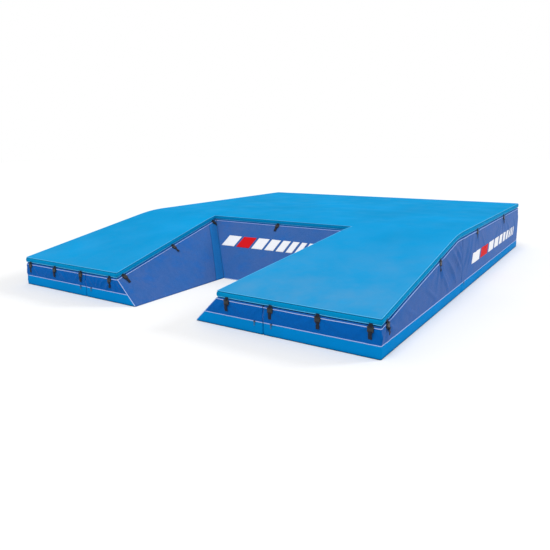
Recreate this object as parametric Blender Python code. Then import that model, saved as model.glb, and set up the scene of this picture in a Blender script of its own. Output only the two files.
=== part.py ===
"""Landing mat with a sloped front and a cut-out for a planting box.

Seven foam blocks stand together on the ground. A wear cover lies over all of them and is held by
buckles along its edge. The runway comes from -Y, so the slope and the cut-out are at -Y, the flat
bed is at +Y, +X is to the right and +Z is up. The origin is on the ground, under the middle.
"""

import math

import bmesh
import bpy
from mathutils import Matrix, Vector

# Driving dimensions, in metres.
WIDTH = 5.20
LENGTH = 6.40
HEIGHT = 0.80
FRONT_HEIGHT = 0.385
COVER_THICKNESS = 0.080
COVER_GAP = 0.004  # between the blocks and the wear cover, where the joining straps lie
CUTOUT_HALF_WIDTH = 0.47  # on the ground; the three walls of the cut-out lean back at 45 degrees
CUTOUT_DEPTH = 1.66  # on the ground
WALL_SETBACK = 0.003  # of every block wall, behind the wear cover's edge
BAND_HEIGHT = 0.125
FRONT_SEAM_X = 1.35  # between the inner and the outer front block
FRONT_BLOCK_LENGTH = 2.60
BLOCK_GAP = 0.012
SKIN = 0.003  # a cover's fabric with its lining
FIT_GAP = 0.0003  # between pieces that touch

# Air channels through the foam cores.
CHANNEL_WIDTH = 0.14
CHANNEL_HEIGHT = 0.10
CHANNEL_PITCH = 0.50
FRONT_CHANNEL_ROWS = (0.13,)
REAR_CHANNEL_ROWS = (0.18, 0.48)

# Webbing and buckles. The tops and ends count down from the wear cover's lower edge.
WEBBING_WIDTH = 0.038
WEBBING = 0.0015
TAPE_RISE = 0.022  # of the hem tape above the edge
TAPE_DIP = 0.002  # of the hem tape below the edge, over a slanted wall
BINDING_TOP, BINDING_END = 0.006, 0.020
STRAP_TOP, STRAP_END = 0.012, 0.130
BUCKLE_WIDTH = 0.064
BUCKLE_THICKNESS = 0.012
MALE_TOP, MALE_END = 0.006, 0.022
MALE_LAP = 0.004  # of the wear cover's strap over the buckle's bar
FEMALE_TOP, FEMALE_END = 0.0225, 0.064
SLANTED_STRAP_TOP = 0.001

# Where the buckles are: from the middle on the front and rear, from the front on the sides.
FRONT_OUTER_BUCKLES = (1.44, 1.97, 2.50)
FRONT_INNER_BUCKLES = (0.90,)
SIDE_FRONT_BUCKLES = (0.12, 1.67)
SIDE_REAR_BUCKLES = (3.33, 5.07)
CUTOUT_BUCKLES = (0.11, 1.17, 2.28)
REAR_BUCKLES = (1.30, 2.50)

JOINING_STRAP = (0.36, 0.05, 0.0022)
JOINING_STRAP_LIFT = 0.0005
FRONT_STRAP_PLACE = 1.20  # from the front
SIDE_STRAP_X = 1.95
CENTRE_STRAP_X = 0.50
REAR_STRAP_Y = {"near": 0.60, "far": 2.20}

# Zip sliders: (width, height) on the wall, and the thickness of each layer.
ZIP_START = 0.10  # from the seam to the slider
SLIDER_BODY = (0.030, 0.014)
SLIDER_BRIDGE = (0.014, 0.006)
SLIDER_PULL = (0.012, 0.040)
SLIDER_LAYERS = (0.004, 0.005, 0.002)
SLIDER_OVERLAP = 0.001
PULL_TOP = 0.002

# Worked out from the driving dimensions.
BLOCK_HEIGHT = HEIGHT - COVER_THICKNESS - COVER_GAP
BLOCK_FRONT_HEIGHT = FRONT_HEIGHT - COVER_THICKNESS - COVER_GAP
Y_FRONT, Y_REAR = -LENGTH / 2, LENGTH / 2
Y_CUTOUT = Y_FRONT + CUTOUT_DEPTH
Y_RIDGE = Y_CUTOUT + BLOCK_HEIGHT  # where the slope meets the flat bed
Y_SEAM = Y_FRONT + FRONT_BLOCK_LENGTH
SLOPE = (HEIGHT - FRONT_HEIGHT) / (Y_RIDGE - Y_FRONT)
HALF_WIDTH = WIDTH / 2
LOWER_EDGE_HEIGHT = HEIGHT - COVER_THICKNESS
LOWER_EDGE_FRONT = FRONT_HEIGHT - COVER_THICKNESS
FRONT_EDGE_X = CUTOUT_HALF_WIDTH + BLOCK_FRONT_HEIGHT
REAR_EDGE_X = CUTOUT_HALF_WIDTH + BLOCK_HEIGHT
CORNER_CLEARANCE = 0.02
CORNER_INSET = WALL_SETBACK - FIT_GAP - WEBBING  # where two binding tapes meet round a corner
CORNER_LAP = 0.001  # of one binding tape over the other there
FAR = 1.0  # how far a cutter runs past what it cuts

X, Y, Z = Vector((1, 0, 0)), Vector((0, 1, 0)), Vector((0, 0, 1))
UPHILL = Vector((0, 1, SLOPE)).normalized()
SLOPE_NORMAL = Vector((0, -SLOPE, 1)).normalized()

COLOURS = {
    "cover_vinyl": ((0.010, 0.300, 0.640), 0.42),
    "wall_mesh": ((0.015, 0.100, 0.360), 0.80),
    "band_vinyl": ((0.006, 0.220, 0.520), 0.42),
    "foam": ((0.780, 0.740, 0.560), 0.95),
    "underside": ((0.050, 0.060, 0.080), 0.75),
    "webbing": ((0.020, 0.110, 0.330), 0.85),
    "buckle_webbing": ((0.012, 0.013, 0.016), 0.60),
    "zip_metal": ((0.620, 0.630, 0.640), 0.35),
}


def clear_scene():
    for obj in list(bpy.data.objects):
        bpy.data.objects.remove(obj, do_unlink=True)


def new_collection(name, hidden=False):
    collection = bpy.data.collections.new(name)
    collection.hide_render = hidden
    bpy.context.scene.collection.children.link(collection)
    return collection


def material(name):
    found = bpy.data.materials.get(name)
    if found:
        return found
    colour, roughness = COLOURS[name]
    made = bpy.data.materials.new(name)
    made.use_nodes = True
    shader = made.node_tree.nodes["Principled BSDF"]
    shader.inputs["Base Color"].default_value = (*colour, 1.0)
    shader.inputs["Roughness"].default_value = roughness
    shader.inputs["Metallic"].default_value = 1.0 if name == "zip_metal" else 0.0
    return made


clear_scene()
MAT = new_collection("landing_mat")
CUTTERS = new_collection("cutters", hidden=True)


def place(name, mesh, slot=None):
    """Adds a mesh to the mat, or with no material slot as a cutter."""
    obj = bpy.data.objects.new(name, mesh)
    if slot:
        mesh.materials.append(material(slot))
        MAT.objects.link(obj)
    else:
        obj.hide_render = True
        obj.display_type = "WIRE"
        CUTTERS.objects.link(obj)
    return obj


def to_mesh(name, bm):
    bmesh.ops.recalc_face_normals(bm, faces=bm.faces)
    mesh = bpy.data.meshes.new(name)
    bm.to_mesh(mesh)
    bm.free()
    return mesh


def join(obj, other, operation):
    modifier = obj.modifiers.new(operation.lower() + "_" + other.name, "BOOLEAN")
    modifier.operation = operation
    modifier.object = other


# Solids cut out of a large cube by planes. A plane is a point on it and its outward normal.


def convex_solid(name, planes, slot=None):
    bm = bmesh.new()
    bmesh.ops.create_cube(bm, size=4 * LENGTH)
    for point, normal in planes:
        geometry = bm.verts[:] + bm.edges[:] + bm.faces[:]
        cut = bmesh.ops.bisect_plane(bm, geom=geometry, plane_co=point, plane_no=normal, clear_outer=True)
        rim = [item for item in cut["geom_cut"] if isinstance(item, bmesh.types.BMEdge)]
        bmesh.ops.contextual_create(bm, geom=rim)
    return place(name, to_mesh(name, bm), slot)


def moved(plane, distance):
    point, normal = plane
    return point + normal.normalized() * distance, normal


def inset(planes, distance):
    return {name: moved(plane, -distance) for name, plane in planes.items()}


def mirrored(planes):
    """The same planes on the other side of X = 0."""
    flip = Matrix.Diagonal((-1, 1, 1))
    return {name: (flip @ point, flip @ normal) for name, (point, normal) in planes.items()}


def hill_planes(drop):
    """The mat's outer walls, with its top `drop` below the finished surface."""
    return {
        "left": (-X * HALF_WIDTH, -X),
        "right": (X * HALF_WIDTH, X),
        "front": (Y * Y_FRONT, -Y),
        "rear": (Y * Y_REAR, Y),
        "top": (Z * (HEIGHT - drop), Z),
        "slope": (Vector((0, Y_FRONT, FRONT_HEIGHT - drop)), SLOPE_NORMAL),
        "bottom": (Vector((0, 0, 0)), -Z),
    }


# The foam blocks.


def block_walls(**others):
    """The planes of a block: the mat's outer walls, set back, and the block's own seams and walls."""
    walls = hill_planes(COVER_THICKNESS + COVER_GAP)
    for side in ("left", "right", "front", "rear"):
        walls[side] = moved(walls[side], -WALL_SETBACK)
    walls.update(others)
    return walls


def front_blocks():
    cutout_wall = (X * (CUTOUT_HALF_WIDTH + WALL_SETBACK), Vector((-1, 0, 1)))
    middle_seam = (Y * (Y_SEAM - BLOCK_GAP / 2), Y)
    outer = block_walls(left=(X * (FRONT_SEAM_X + BLOCK_GAP / 2), -X), rear=middle_seam)
    inner = block_walls(
        left=cutout_wall,
        right=(X * (FRONT_SEAM_X - BLOCK_GAP / 2), X),
        rear=middle_seam,
    )
    side = (X * (CUTOUT_HALF_WIDTH + WALL_SETBACK - BLOCK_GAP * math.sqrt(2)), Vector((1, 0, -1)))
    centre = block_walls(
        left=mirrored({"side": side})["side"],
        right=side,
        front=(Y * (Y_CUTOUT + WALL_SETBACK), Vector((0, -1, 1))),
        rear=middle_seam,
    )
    return outer, inner, centre


def rear_block():
    return block_walls(left=(X * BLOCK_GAP / 2, -X), front=(Y * (Y_SEAM + BLOCK_GAP / 2), -Y))


def channel_cutter(name, walls, rows):
    """Boxes across the block, one for each air channel."""
    y_low, y_high = walls["front"][0].y, walls["rear"][0].y
    count = max(1, round((y_high - y_low) / CHANNEL_PITCH))
    bm = bmesh.new()
    for row in rows:
        for index in range(count):
            y = y_low + (index + 0.5) * (y_high - y_low) / count
            # A channel in front of the centre block's slanted wall would cut through it.
            if walls["front"][1].z and y - y_low < row + CHANNEL_HEIGHT + CHANNEL_WIDTH:
                continue
            size = Matrix.Diagonal((2 * WIDTH, CHANNEL_WIDTH, CHANNEL_HEIGHT, 1))
            bmesh.ops.create_cube(bm, size=1, matrix=Matrix.Translation((0, y, row)) @ size)
    return place(name, to_mesh(name, bm))


def block(name, walls, rows, bare=None):
    """A foam core in a base tray and an upper cover. The bare wall has no band: mesh to the ground."""
    core = convex_solid(name + "_foam_core", inset(walls, SKIN + FIT_GAP).values(), "foam")
    join(core, channel_cutter(name + "_channels", walls, rows), "DIFFERENCE")

    tray_walls = dict(walls, band_top=(Z * BAND_HEIGHT, Z))
    if bare:
        tray_walls[bare] = moved(walls[bare], -SKIN - FIT_GAP)
    tray = convex_solid(name + "_base_tray", tray_walls.values(), "band_vinyl")
    cavity = convex_solid(name + "_cavity", inset(walls, SKIN).values())
    join(tray, cavity, "DIFFERENCE")

    cover = convex_solid(name + "_upper_cover", walls.values(), "wall_mesh")
    inside = dict(inset(walls, SKIN), bottom=(-Z * FAR, -Z))
    join(cover, convex_solid(name + "_inside", inside.values()), "DIFFERENCE")
    below = inset(walls, -FAR)
    below["band_top"] = (Z * (BAND_HEIGHT + FIT_GAP), Z)
    if bare:
        # A shade into the sheet, so that this cut and the last don't share a plane.
        below[bare] = moved(walls[bare], -SKIN * 0.95)
    join(cover, convex_solid(name + "_below_band", below.values()), "DIFFERENCE")


def make_blocks():
    outer, inner, centre = front_blocks()
    rear = rear_block()
    for side, turn in (("right", dict), ("left", mirrored)):
        block("front_outer_" + side, turn(outer), FRONT_CHANNEL_ROWS)
        block("front_inner_" + side, turn(inner), FRONT_CHANNEL_ROWS, bare="left")
        block("rear_" + side, turn(rear), REAR_CHANNEL_ROWS)
    block("centre", centre, FRONT_CHANNEL_ROWS, bare="front")


# The wear cover.


def cutout_planes(grow):
    """The hole in the wear cover over the cut-out, grown outwards into the cover."""
    edge = Vector((CUTOUT_HALF_WIDTH + BLOCK_FRONT_HEIGHT, Y_FRONT, 0))
    right = {"side": moved((edge, Vector((1, -SLOPE, 0))), grow)}
    return {
        "right": right["side"],
        "left": mirrored(right)["side"],
        "rear": (Y * (Y_RIDGE + grow), Y),
        "front": (Y * (Y_FRONT - FAR), -Y),
        "top": (Z * (HEIGHT + FAR), Z),
        "bottom": (-Z * FAR, -Z),
    }


def wide_hill(drop):
    """A hill that runs past the mat on all sides, to cut along its surface only."""
    hill = hill_planes(drop)
    for side in ("left", "right", "front", "rear", "bottom"):
        hill[side] = moved(hill[side], FAR)
    return hill


def wear_cover_skins():
    underside = convex_solid("under_cover", wide_hill(COVER_THICKNESS).values())
    top = convex_solid("wear_cover_top", hill_planes(0).values(), "cover_vinyl")
    join(top, underside, "DIFFERENCE")
    join(top, convex_solid("cover_cutout", cutout_planes(0).values()), "DIFFERENCE")
    inside = dict(inset(hill_planes(0), SKIN), bottom=(-Z * FAR, -Z))
    inside = convex_solid("cover_inside", inside.values())
    join(inside, convex_solid("cover_inside_cutout", cutout_planes(SKIN).values()), "DIFFERENCE")
    join(top, inside, "DIFFERENCE")

    sheet_planes = inset(hill_planes(0), SKIN + FIT_GAP)
    low = hill_planes(COVER_THICKNESS)
    sheet_planes["top"], sheet_planes["slope"] = moved(low["top"], SKIN), moved(low["slope"], SKIN)
    sheet = convex_solid("wear_cover_underside", sheet_planes.values(), "underside")
    join(sheet, underside, "DIFFERENCE")
    sheet_cutout = convex_solid("sheet_cutout", cutout_planes(SKIN + FIT_GAP).values())
    join(sheet, sheet_cutout, "DIFFERENCE")


def wear_cover_foam():
    step = SKIN + FIT_GAP
    hill = inset(hill_planes(0), step)
    low = hill_planes(COVER_THICKNESS)
    rear = dict(hill, front=(Y * (Y_RIDGE + step), -Y), bottom=(low["top"][0] + Z * step, -Z))
    convex_solid("wear_cover_foam_rear", rear.values(), "foam")
    edge_point, edge_normal = cutout_planes(step)["right"]
    arm = dict(
        hill,
        left=(edge_point, -edge_normal),
        rear=(Y * (Y_RIDGE - FIT_GAP), Y),
        bottom=(low["slope"][0] + SLOPE_NORMAL * step, -SLOPE_NORMAL),
    )
    convex_solid("wear_cover_foam_right", arm.values(), "foam")
    convex_solid("wear_cover_foam_left", mirrored(arm).values(), "foam")


# Straps, tapes and buckles. An Edge is a straight stretch of the wear cover's lower edge.


class Edge:
    """A stretch of the wear cover's lower edge, with the wall under it.

    start and end: points on the edge. out: the cover's outward direction. wall: the block wall's
    outward direction. down: the direction in which a strap lies along the wall.
    """

    def __init__(self, start, end, out, wall, down):
        self.start, self.end, self.out, self.wall, self.down = start, end, out, wall, down
        self.along = (end - start).normalized()

    def at(self, along_y=None, along_x=None):
        """The edge's point with the given Y or X."""
        wanted, axis = (along_y, 1) if along_x is None else (along_x, 0)
        share = (wanted - self.start[axis]) / (self.end[axis] - self.start[axis])
        return self.start.lerp(self.end, share)

    def mirrored(self):
        flip = Matrix.Diagonal((-1, 1, 1))
        parts = (self.start, self.end, self.out, self.wall, self.down)
        return Edge(*(flip @ part for part in parts))


def box_matrix(corner, spans):
    """The matrix that turns a unit cube into the box from a corner along three spans."""
    columns = Matrix(spans).transposed().to_4x4()
    return Matrix.Translation(corner + sum(spans, Vector()) / 2) @ columns


def boxes_mesh(name, boxes):
    bm = bmesh.new()
    for corner, spans in boxes:
        bmesh.ops.create_cube(bm, size=1, matrix=box_matrix(corner, spans))
    return to_mesh(name, bm)


def joined_boxes(name, layers, slot):
    """One solid from layers of boxes. The boxes of one layer don't touch each other."""
    obj = place(name, boxes_mesh(name, layers[0]), slot)
    for index, layer in enumerate(layers[1:]):
        helper = name + "_layer_" + str(index)
        join(obj, place(helper, boxes_mesh(helper, layer)), "UNION")
    return obj


def across(edge):
    """The direction across a strap, at right angles to its length in the wall's plane."""
    return edge.down.cross(edge.wall).normalized()


def hanging_box(edge, point, width, top, end, near, thickness):
    """A box at a strap's place: from `top` to `end` down the wall, `near` off the wall's plane."""
    side = across(edge)
    corner = point - side * width / 2 + edge.down * top + edge.wall * near
    return corner, (side * width, edge.down * (end - top), edge.wall * thickness)


def slanted(edge):
    return edge.wall.z > 0.1


def male_boxes(edge, point):
    """A strap and the male half of a buckle, which hang from the wear cover's hem tape.

    Over a slanted wall they lie behind the edge, where the tape's own slant leaves room.
    """
    top = SLANTED_STRAP_TOP if slanted(edge) else -TAPE_RISE / 2
    near = -WEBBING if slanted(edge) else FIT_GAP
    strap = hanging_box(edge, point, WEBBING_WIDTH, top, MALE_TOP + MALE_LAP, near, WEBBING)
    half = hanging_box(edge, point, BUCKLE_WIDTH, MALE_TOP, MALE_END, near - FIT_GAP, BUCKLE_THICKNESS)
    return strap, half


def female_boxes(edge, point, wall_depth):
    """A strap sewn to the block's binding tape, and the female half of a buckle on it."""
    near = wall_depth + FIT_GAP * 1.5
    strap = hanging_box(edge, point, WEBBING_WIDTH, STRAP_TOP, STRAP_END, near, WEBBING)
    near = wall_depth + WEBBING
    half = hanging_box(edge, point, BUCKLE_WIDTH, FEMALE_TOP, FEMALE_END, near, BUCKLE_THICKNESS)
    return strap, half


def hem_tape(edge):
    """Webbing along the wear cover's edge, a little below its lower corner."""
    low = -TAPE_DIP if slanted(edge) else 0.0
    corner = edge.start + Z * low + edge.out * FIT_GAP
    return corner, (edge.end - edge.start, Z * (TAPE_RISE - low), edge.out * WEBBING)


def binding_tape(edge, wall_depth):
    """Webbing along the top of the block's wall."""
    drop = edge.wall.cross(edge.along).normalized()
    drop = drop if drop.z < 0 else -drop
    corner = edge.start + drop * BINDING_TOP + edge.wall * (wall_depth + FIT_GAP)
    return corner, (edge.end - edge.start, drop * (BINDING_END - BINDING_TOP), edge.wall * WEBBING)


def right_edges():
    """The stretches of the wear cover's lower edge on the right, by name."""
    front, bed = LOWER_EDGE_FRONT, LOWER_EDGE_HEIGHT
    corner_x, corner_y = HALF_WIDTH - CORNER_INSET, Y_REAR - CORNER_INSET
    side_y = Y_FRONT + CORNER_INSET - CORNER_LAP
    cut_start, cut_end = Vector((FRONT_EDGE_X, Y_FRONT, front)), Vector((REAR_EDGE_X, Y_RIDGE, bed))
    cut_out = Vector((-1, SLOPE, 0)).normalized()
    cut_wall = Vector((-1, 0, 1)).normalized()
    cut_down = cut_wall.cross(cut_end - cut_start).normalized()
    cut_down = cut_down if cut_down.z < 0 else -cut_down
    trim = (cut_end - cut_start).normalized() * CORNER_CLEARANCE
    front_start = Vector((FRONT_EDGE_X + CORNER_CLEARANCE, Y_FRONT, front))
    ridge = Vector((HALF_WIDTH, Y_RIDGE, bed))
    return {
        "front": Edge(front_start, Vector((corner_x, Y_FRONT, front)), -Y, -Y, -Z),
        "slope": Edge(Vector((HALF_WIDTH, side_y, front)), ridge, X, X, -Z),
        "side": Edge(ridge, Vector((HALF_WIDTH, corner_y, bed)), X, X, -Z),
        "cutout": Edge(cut_start + trim, cut_end - trim * 2, cut_out, cut_wall, cut_down),
        "rear": Edge(Vector((BLOCK_GAP, Y_REAR, bed)), Vector((corner_x, Y_REAR, bed)), Y, Y, -Z),
    }


def points_along(edge, places, axis):
    if axis == "x":
        sign = 1 if edge.start.x + edge.end.x > 0 else -1
        return [edge.at(along_x=sign * place) for place in places]
    return [edge.at(along_y=Y_FRONT + place) for place in places]


def cover_straps(name, edges, points):
    """The hem tape of one side of the wear cover, with its straps and male halves."""
    males = [male_boxes(edge, point) for edge, point in points]
    layers = [[hem_tape(edge)] for edge in edges]
    layers += [[strap for strap, _ in males], [half for _, half in males]]
    joined_boxes("cover_straps_" + name, layers, "buckle_webbing")


def block_straps(name, runs, points):
    """The binding tapes of one block, with its straps and female halves."""
    females = [female_boxes(edge, point, wall_depth(edge)) for edge, point in points]
    layers = [[binding_tape(edge, wall_depth(edge))] for edge in runs]
    layers += [[strap for strap, _ in females], [half for _, half in females]]
    joined_boxes("block_straps_" + name, layers, "webbing")


def wall_depth(edge):
    """How far the block's wall is behind the edge, along the wall's outward direction."""
    if not slanted(edge):
        return -WALL_SETBACK
    return -(WALL_SETBACK + COVER_GAP) / math.sqrt(2)


def clipped(edge, low=None, high=None, axis=1):
    """The part of an edge between two positions along X (axis 0) or Y (axis 1)."""
    pick = (lambda value: edge.at(along_x=value)) if axis == 0 else (lambda value: edge.at(along_y=value))
    start = edge.start if low is None else pick(low)
    end = edge.end if high is None else pick(high)
    return Edge(start, end, edge.out, edge.wall, edge.down)


def make_straps():
    margin = BLOCK_GAP
    for side in ("right", "left"):
        edges = right_edges()
        if side == "left":
            edges = {name: edge.mirrored() for name, edge in edges.items()}
        sign = 1 if side == "right" else -1
        front, slope, flat, cutout, rear = (edges[n] for n in ("front", "slope", "side", "cutout", "rear"))
        outer = [(front, p) for p in points_along(front, FRONT_OUTER_BUCKLES, "x")]
        inner = [(front, p) for p in points_along(front, FRONT_INNER_BUCKLES, "x")]
        sloped = [(slope, p) for p in points_along(slope, SIDE_FRONT_BUCKLES, "y")]
        level = [(flat, p) for p in points_along(flat, SIDE_REAR_BUCKLES, "y")]
        walled = [(cutout, p) for p in points_along(cutout, CUTOUT_BUCKLES, "y")]
        behind = [(rear, p) for p in points_along(rear, REAR_BUCKLES, "x")]

        cover_straps("front_" + side, [front], outer + inner)
        cover_straps("side_" + side, [slope, flat], sloped + level)
        cover_straps("cutout_" + side, [cutout], walled)

        corner_edge = clipped(front, low=sign * (FRONT_SEAM_X + margin), axis=0)
        inner_edge = clipped(front, high=sign * (FRONT_SEAM_X - margin), axis=0)
        block_straps("front_outer_" + side, [corner_edge, slope], outer + sloped)
        block_straps("front_inner_" + side, [inner_edge], inner)
        block_straps("cutout_" + side, [cutout], walled)
        block_straps("rear_" + side, [clipped(flat, low=Y_SEAM + margin), rear], level + behind)


def make_middle_straps():
    """The rear's hem tape runs right across; the cut-out's back wall has one buckle."""
    right = right_edges()["rear"]
    rear = Edge(Vector((-right.end.x, Y_REAR, right.end.z)), right.end, Y, Y, -Z)
    places = [sign * place for sign in (-1, 1) for place in REAR_BUCKLES]
    cover_straps("rear", [rear], [(rear, rear.at(along_x=x)) for x in places])

    reach = REAR_EDGE_X - 3 * CORNER_CLEARANCE
    back = Edge(
        Vector((-reach, Y_RIDGE, LOWER_EDGE_HEIGHT)),
        Vector((reach, Y_RIDGE, LOWER_EDGE_HEIGHT)),
        -Y,
        Vector((0, -1, 1)).normalized(),
        Vector((0, -1, -1)).normalized(),
    )
    middle = [(back, back.at(along_x=0.0))]
    cover_straps("cutout_back", [back], middle)
    block_straps("centre", [back], middle)


# Joining straps and zip sliders.


def joining_strap(name, x, y, along_x):
    """A flat strap over a seam, on top of the blocks and under the wear cover."""
    run = X if along_x else (UPHILL if y < Y_RIDGE else Y)
    width = (UPHILL if y < Y_RIDGE else Y) if along_x else X
    up = run.cross(width).normalized()
    up = up if up.z > 0 else -up
    z = min(BLOCK_HEIGHT, BLOCK_FRONT_HEIGHT + (y - Y_FRONT) * SLOPE)
    centre = Vector((x, y, z)) + up * JOINING_STRAP_LIFT
    length, breadth, thickness = JOINING_STRAP
    corner = centre - run * length / 2 - width * breadth / 2
    joined_boxes(name, [[(corner, (run * length, width * breadth, up * thickness))]], "webbing")


def make_joining_straps():
    for side, sign in (("right", 1), ("left", -1)):
        joining_strap("joining_strap_front_" + side, sign * FRONT_SEAM_X, Y_FRONT + FRONT_STRAP_PLACE, True)
        joining_strap("joining_strap_side_" + side, sign * SIDE_STRAP_X, Y_SEAM, False)
        joining_strap("joining_strap_centre_" + side, sign * CENTRE_STRAP_X, Y_SEAM, False)
    for place, y in REAR_STRAP_Y.items():
        joining_strap("joining_strap_rear_" + place, 0.0, y, True)


def zip_slider(name, x, y, travel, out):
    """A slider on the zip above the band: its body, the bridge on it and the hanging pull."""
    centre = Vector((x, y, BAND_HEIGHT))
    near, layers = FIT_GAP * 2, []
    for (width, height), thickness in zip((SLIDER_BODY, SLIDER_BRIDGE, SLIDER_PULL), SLIDER_LAYERS):
        rise = height / 2 if not layers or len(layers) == 1 else -PULL_TOP
        corner = centre - travel * width / 2 + Z * rise + out * near
        layers.append([(corner, (travel * width, -Z * height, out * thickness))])
        near += thickness - SLIDER_OVERLAP
    joined_boxes(name, layers, "zip_metal")


def make_zip_sliders():
    wall_y, wall_x = Y_FRONT + WALL_SETBACK, HALF_WIDTH - WALL_SETBACK
    for side, sign in (("right", 1), ("left", -1)):
        zip_slider("zip_slider_front_outer_" + side, sign * (FRONT_SEAM_X + ZIP_START), wall_y, X, -Y)
        zip_slider("zip_slider_front_inner_" + side, sign * (FRONT_SEAM_X - ZIP_START), wall_y, X, -Y)
        zip_slider("zip_slider_rear_" + side, sign * wall_x, Y_SEAM + ZIP_START, Y, sign * X)


make_blocks()
wear_cover_skins()
wear_cover_foam()
make_straps()
make_middle_straps()
make_joining_straps()
make_zip_sliders()
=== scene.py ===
import math

import bmesh
import bpy
import numpy as np
from mathutils import Matrix, Vector, noise


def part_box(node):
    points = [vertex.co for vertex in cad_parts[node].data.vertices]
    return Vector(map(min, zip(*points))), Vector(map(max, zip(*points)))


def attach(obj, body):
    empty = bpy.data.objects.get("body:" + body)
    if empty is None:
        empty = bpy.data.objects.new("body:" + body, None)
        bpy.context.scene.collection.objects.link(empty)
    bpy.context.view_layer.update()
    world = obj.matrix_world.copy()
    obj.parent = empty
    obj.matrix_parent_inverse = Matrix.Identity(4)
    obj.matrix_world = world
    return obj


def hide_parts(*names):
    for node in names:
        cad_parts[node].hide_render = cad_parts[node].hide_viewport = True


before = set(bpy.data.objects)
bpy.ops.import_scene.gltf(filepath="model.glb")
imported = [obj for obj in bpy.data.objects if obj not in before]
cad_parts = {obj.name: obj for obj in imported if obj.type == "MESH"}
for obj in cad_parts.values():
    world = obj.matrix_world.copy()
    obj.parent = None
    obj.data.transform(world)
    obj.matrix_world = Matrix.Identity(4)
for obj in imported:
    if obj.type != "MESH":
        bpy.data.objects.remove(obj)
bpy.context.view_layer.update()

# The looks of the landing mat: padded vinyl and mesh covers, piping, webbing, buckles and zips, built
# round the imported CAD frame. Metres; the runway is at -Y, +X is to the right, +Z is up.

# Sizes from the frame.
STEP = 0.0033  # a CAD skin and its fitting gap
COVER_LOW, COVER_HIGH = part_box("wear_cover_top")
FOAM_LOW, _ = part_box("wear_cover_foam_rear")
HALF_WIDTH = COVER_HIGH.x
Y_FRONT, Y_REAR = COVER_LOW.y, COVER_HIGH.y
HEIGHT = COVER_HIGH.z
COVER_THICK = HEIGHT - (FOAM_LOW.z - STEP)
Y_RIDGE = FOAM_LOW.y - STEP
FRONT_HEIGHT = COVER_LOW.z + COVER_THICK
SLOPE = (HEIGHT - FRONT_HEIGHT) / (Y_RIDGE - Y_FRONT)
BLOCK_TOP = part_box("rear_right_upper_cover")[1].z
COVER_DROP = HEIGHT - BLOCK_TOP  # from the finished top to the top of the blocks
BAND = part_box("rear_right_base_tray")[1].z
WALL_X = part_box("rear_right_upper_cover")[1].x
SETBACK = HALF_WIDTH - WALL_X
CUT_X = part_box("front_inner_right_upper_cover")[0].x  # of the cut-out's side wall on the ground
CUT_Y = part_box("centre_upper_cover")[0].y  # of the cut-out's back wall on the ground

# Where the buckles are, as in the CAD: from the middle, or from the mat's front.
FRONT_OUTER_BUCKLES = (1.44, 1.97, 2.50)
FRONT_INNER_BUCKLES = (0.90,)
CORNER_BUCKLE = 0.12  # its strap's end has come loose and leans
SIDE_FRONT_BUCKLES = (CORNER_BUCKLE, 1.67)
SIDE_REAR_BUCKLES = (3.33, 5.07)
CUTOUT_BUCKLES = (0.11, 1.17, 2.28)
REAR_BUCKLES = (1.30, 2.50)

# Soft shapes.
RIDGE_BLEND = 0.30  # half the length over which the slope rounds into the flat bed
UNDER_BLEND = 0.05  # the same under the wear cover
EDGE_DIP = 0.007  # of the wear cover's top at its edges
COVER_ROUND = 0.020
COVER_BOTTOM_ROUND = 0.012
COVER_HEM = 0.050
TOP_UV = 100.0  # keeps the UVs of flat tops off the rows of stitches on their borders
BLOCK_ROUND = 0.020
CORNER_ROUND = 0.012
SKIN_LIFT = 0.002  # of a block's fabric over the CAD skin, so that its rounded corners clear the foam
SKIN_THICK = 0.0016
TRAY_THICK = 0.0014

COVER_BLUE = (0.001, 0.285, 0.610)
# The welts' paler blue is a painted highlight.
WELT_HIGHLIGHT_BLUE = (0.080, 0.430, 0.760)
# Painted sheen with dust on the wear cover's top, towards the front.
COVER_DUST_AND_SHEEN = (0.070, 0.295, 0.555)
WALL_BLUE = (0.001, 0.114, 0.440)
# Painted sheen on all but the front walls, in two tones.
WALL_SHEEN = (0.030, 0.126, 0.395)
WALL_SHEEN_PALE = (0.062, 0.134, 0.372)
# Painted light on the walls behind the front, growing towards the rear.
WALL_PAINTED_LIGHT = (0.110, 0.250, 0.560)
CORNER_PANEL = (0.002, 0.170, 0.500)
BAND_BLUE = (0.001, 0.215, 0.560)
PIPING_PALE = (0.380, 0.490, 0.800)
FOAM_YELLOW = (0.780, 0.700, 0.460)

MESH_PITCH = 0.005  # of the holes in the wall fabric
WELT_RADIUS, PIPING_RADIUS = 0.0050, 0.0042
GROUND_CORD = 0.0045  # the height of the middle of a cord that lies on the ground
SHEET_INSET = 0.030  # of a block's flat sheets from its walls
BACKING_INSET, BACKING_THICK = 0.020, 0.001
INK_LIFT, INK_THICK = 0.0014, 0.0004
JOINING_WIDE, JOINING_THICK = 0.05, 0.0020
SLIDER_LIFT = 0.0078  # clears the piping
BUCKLE_LIFT = 0.0018  # off the wall, over the straps
COVER_FOAM_INSET, COVER_FOAM_ROUND, COVER_FOAM_DROP = 0.006, 0.016, 0.018
CORE_INSET, CORE_ROUND = 0.009, 0.022


# Small maths.


def top_height(y, blend=RIDGE_BLEND):
    """The finished top surface: the slope, the ridge rounded over, and the flat bed."""
    s = y - Y_RIDGE
    if s <= -blend:
        return HEIGHT + SLOPE * s
    if s >= blend:
        return HEIGHT
    return HEIGHT - SLOPE * (blend - s) ** 2 / (4 * blend)


def lower_edge(y):
    """The underside of the wear cover."""
    return top_height(y, UNDER_BLEND) - COVER_THICK


def block_height(y):
    return top_height(y, UNDER_BLEND) - COVER_DROP


def unit(v):
    return v / np.linalg.norm(v)


def vec(*values):
    return np.array(values, float)


def wave_noise(p, scale, seed=0.0):
    """Smooth noise from about -1 to 1, with features of about `scale` metres."""
    return noise.noise(Vector((p[0] / scale + seed, p[1] / scale - seed, p[2] / scale + 2 * seed)))


def link_mesh(name, mesh, material):
    mesh.materials.append(material)
    obj = bpy.data.objects.new(name, mesh)
    bpy.context.scene.collection.objects.link(obj)
    return obj


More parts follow.
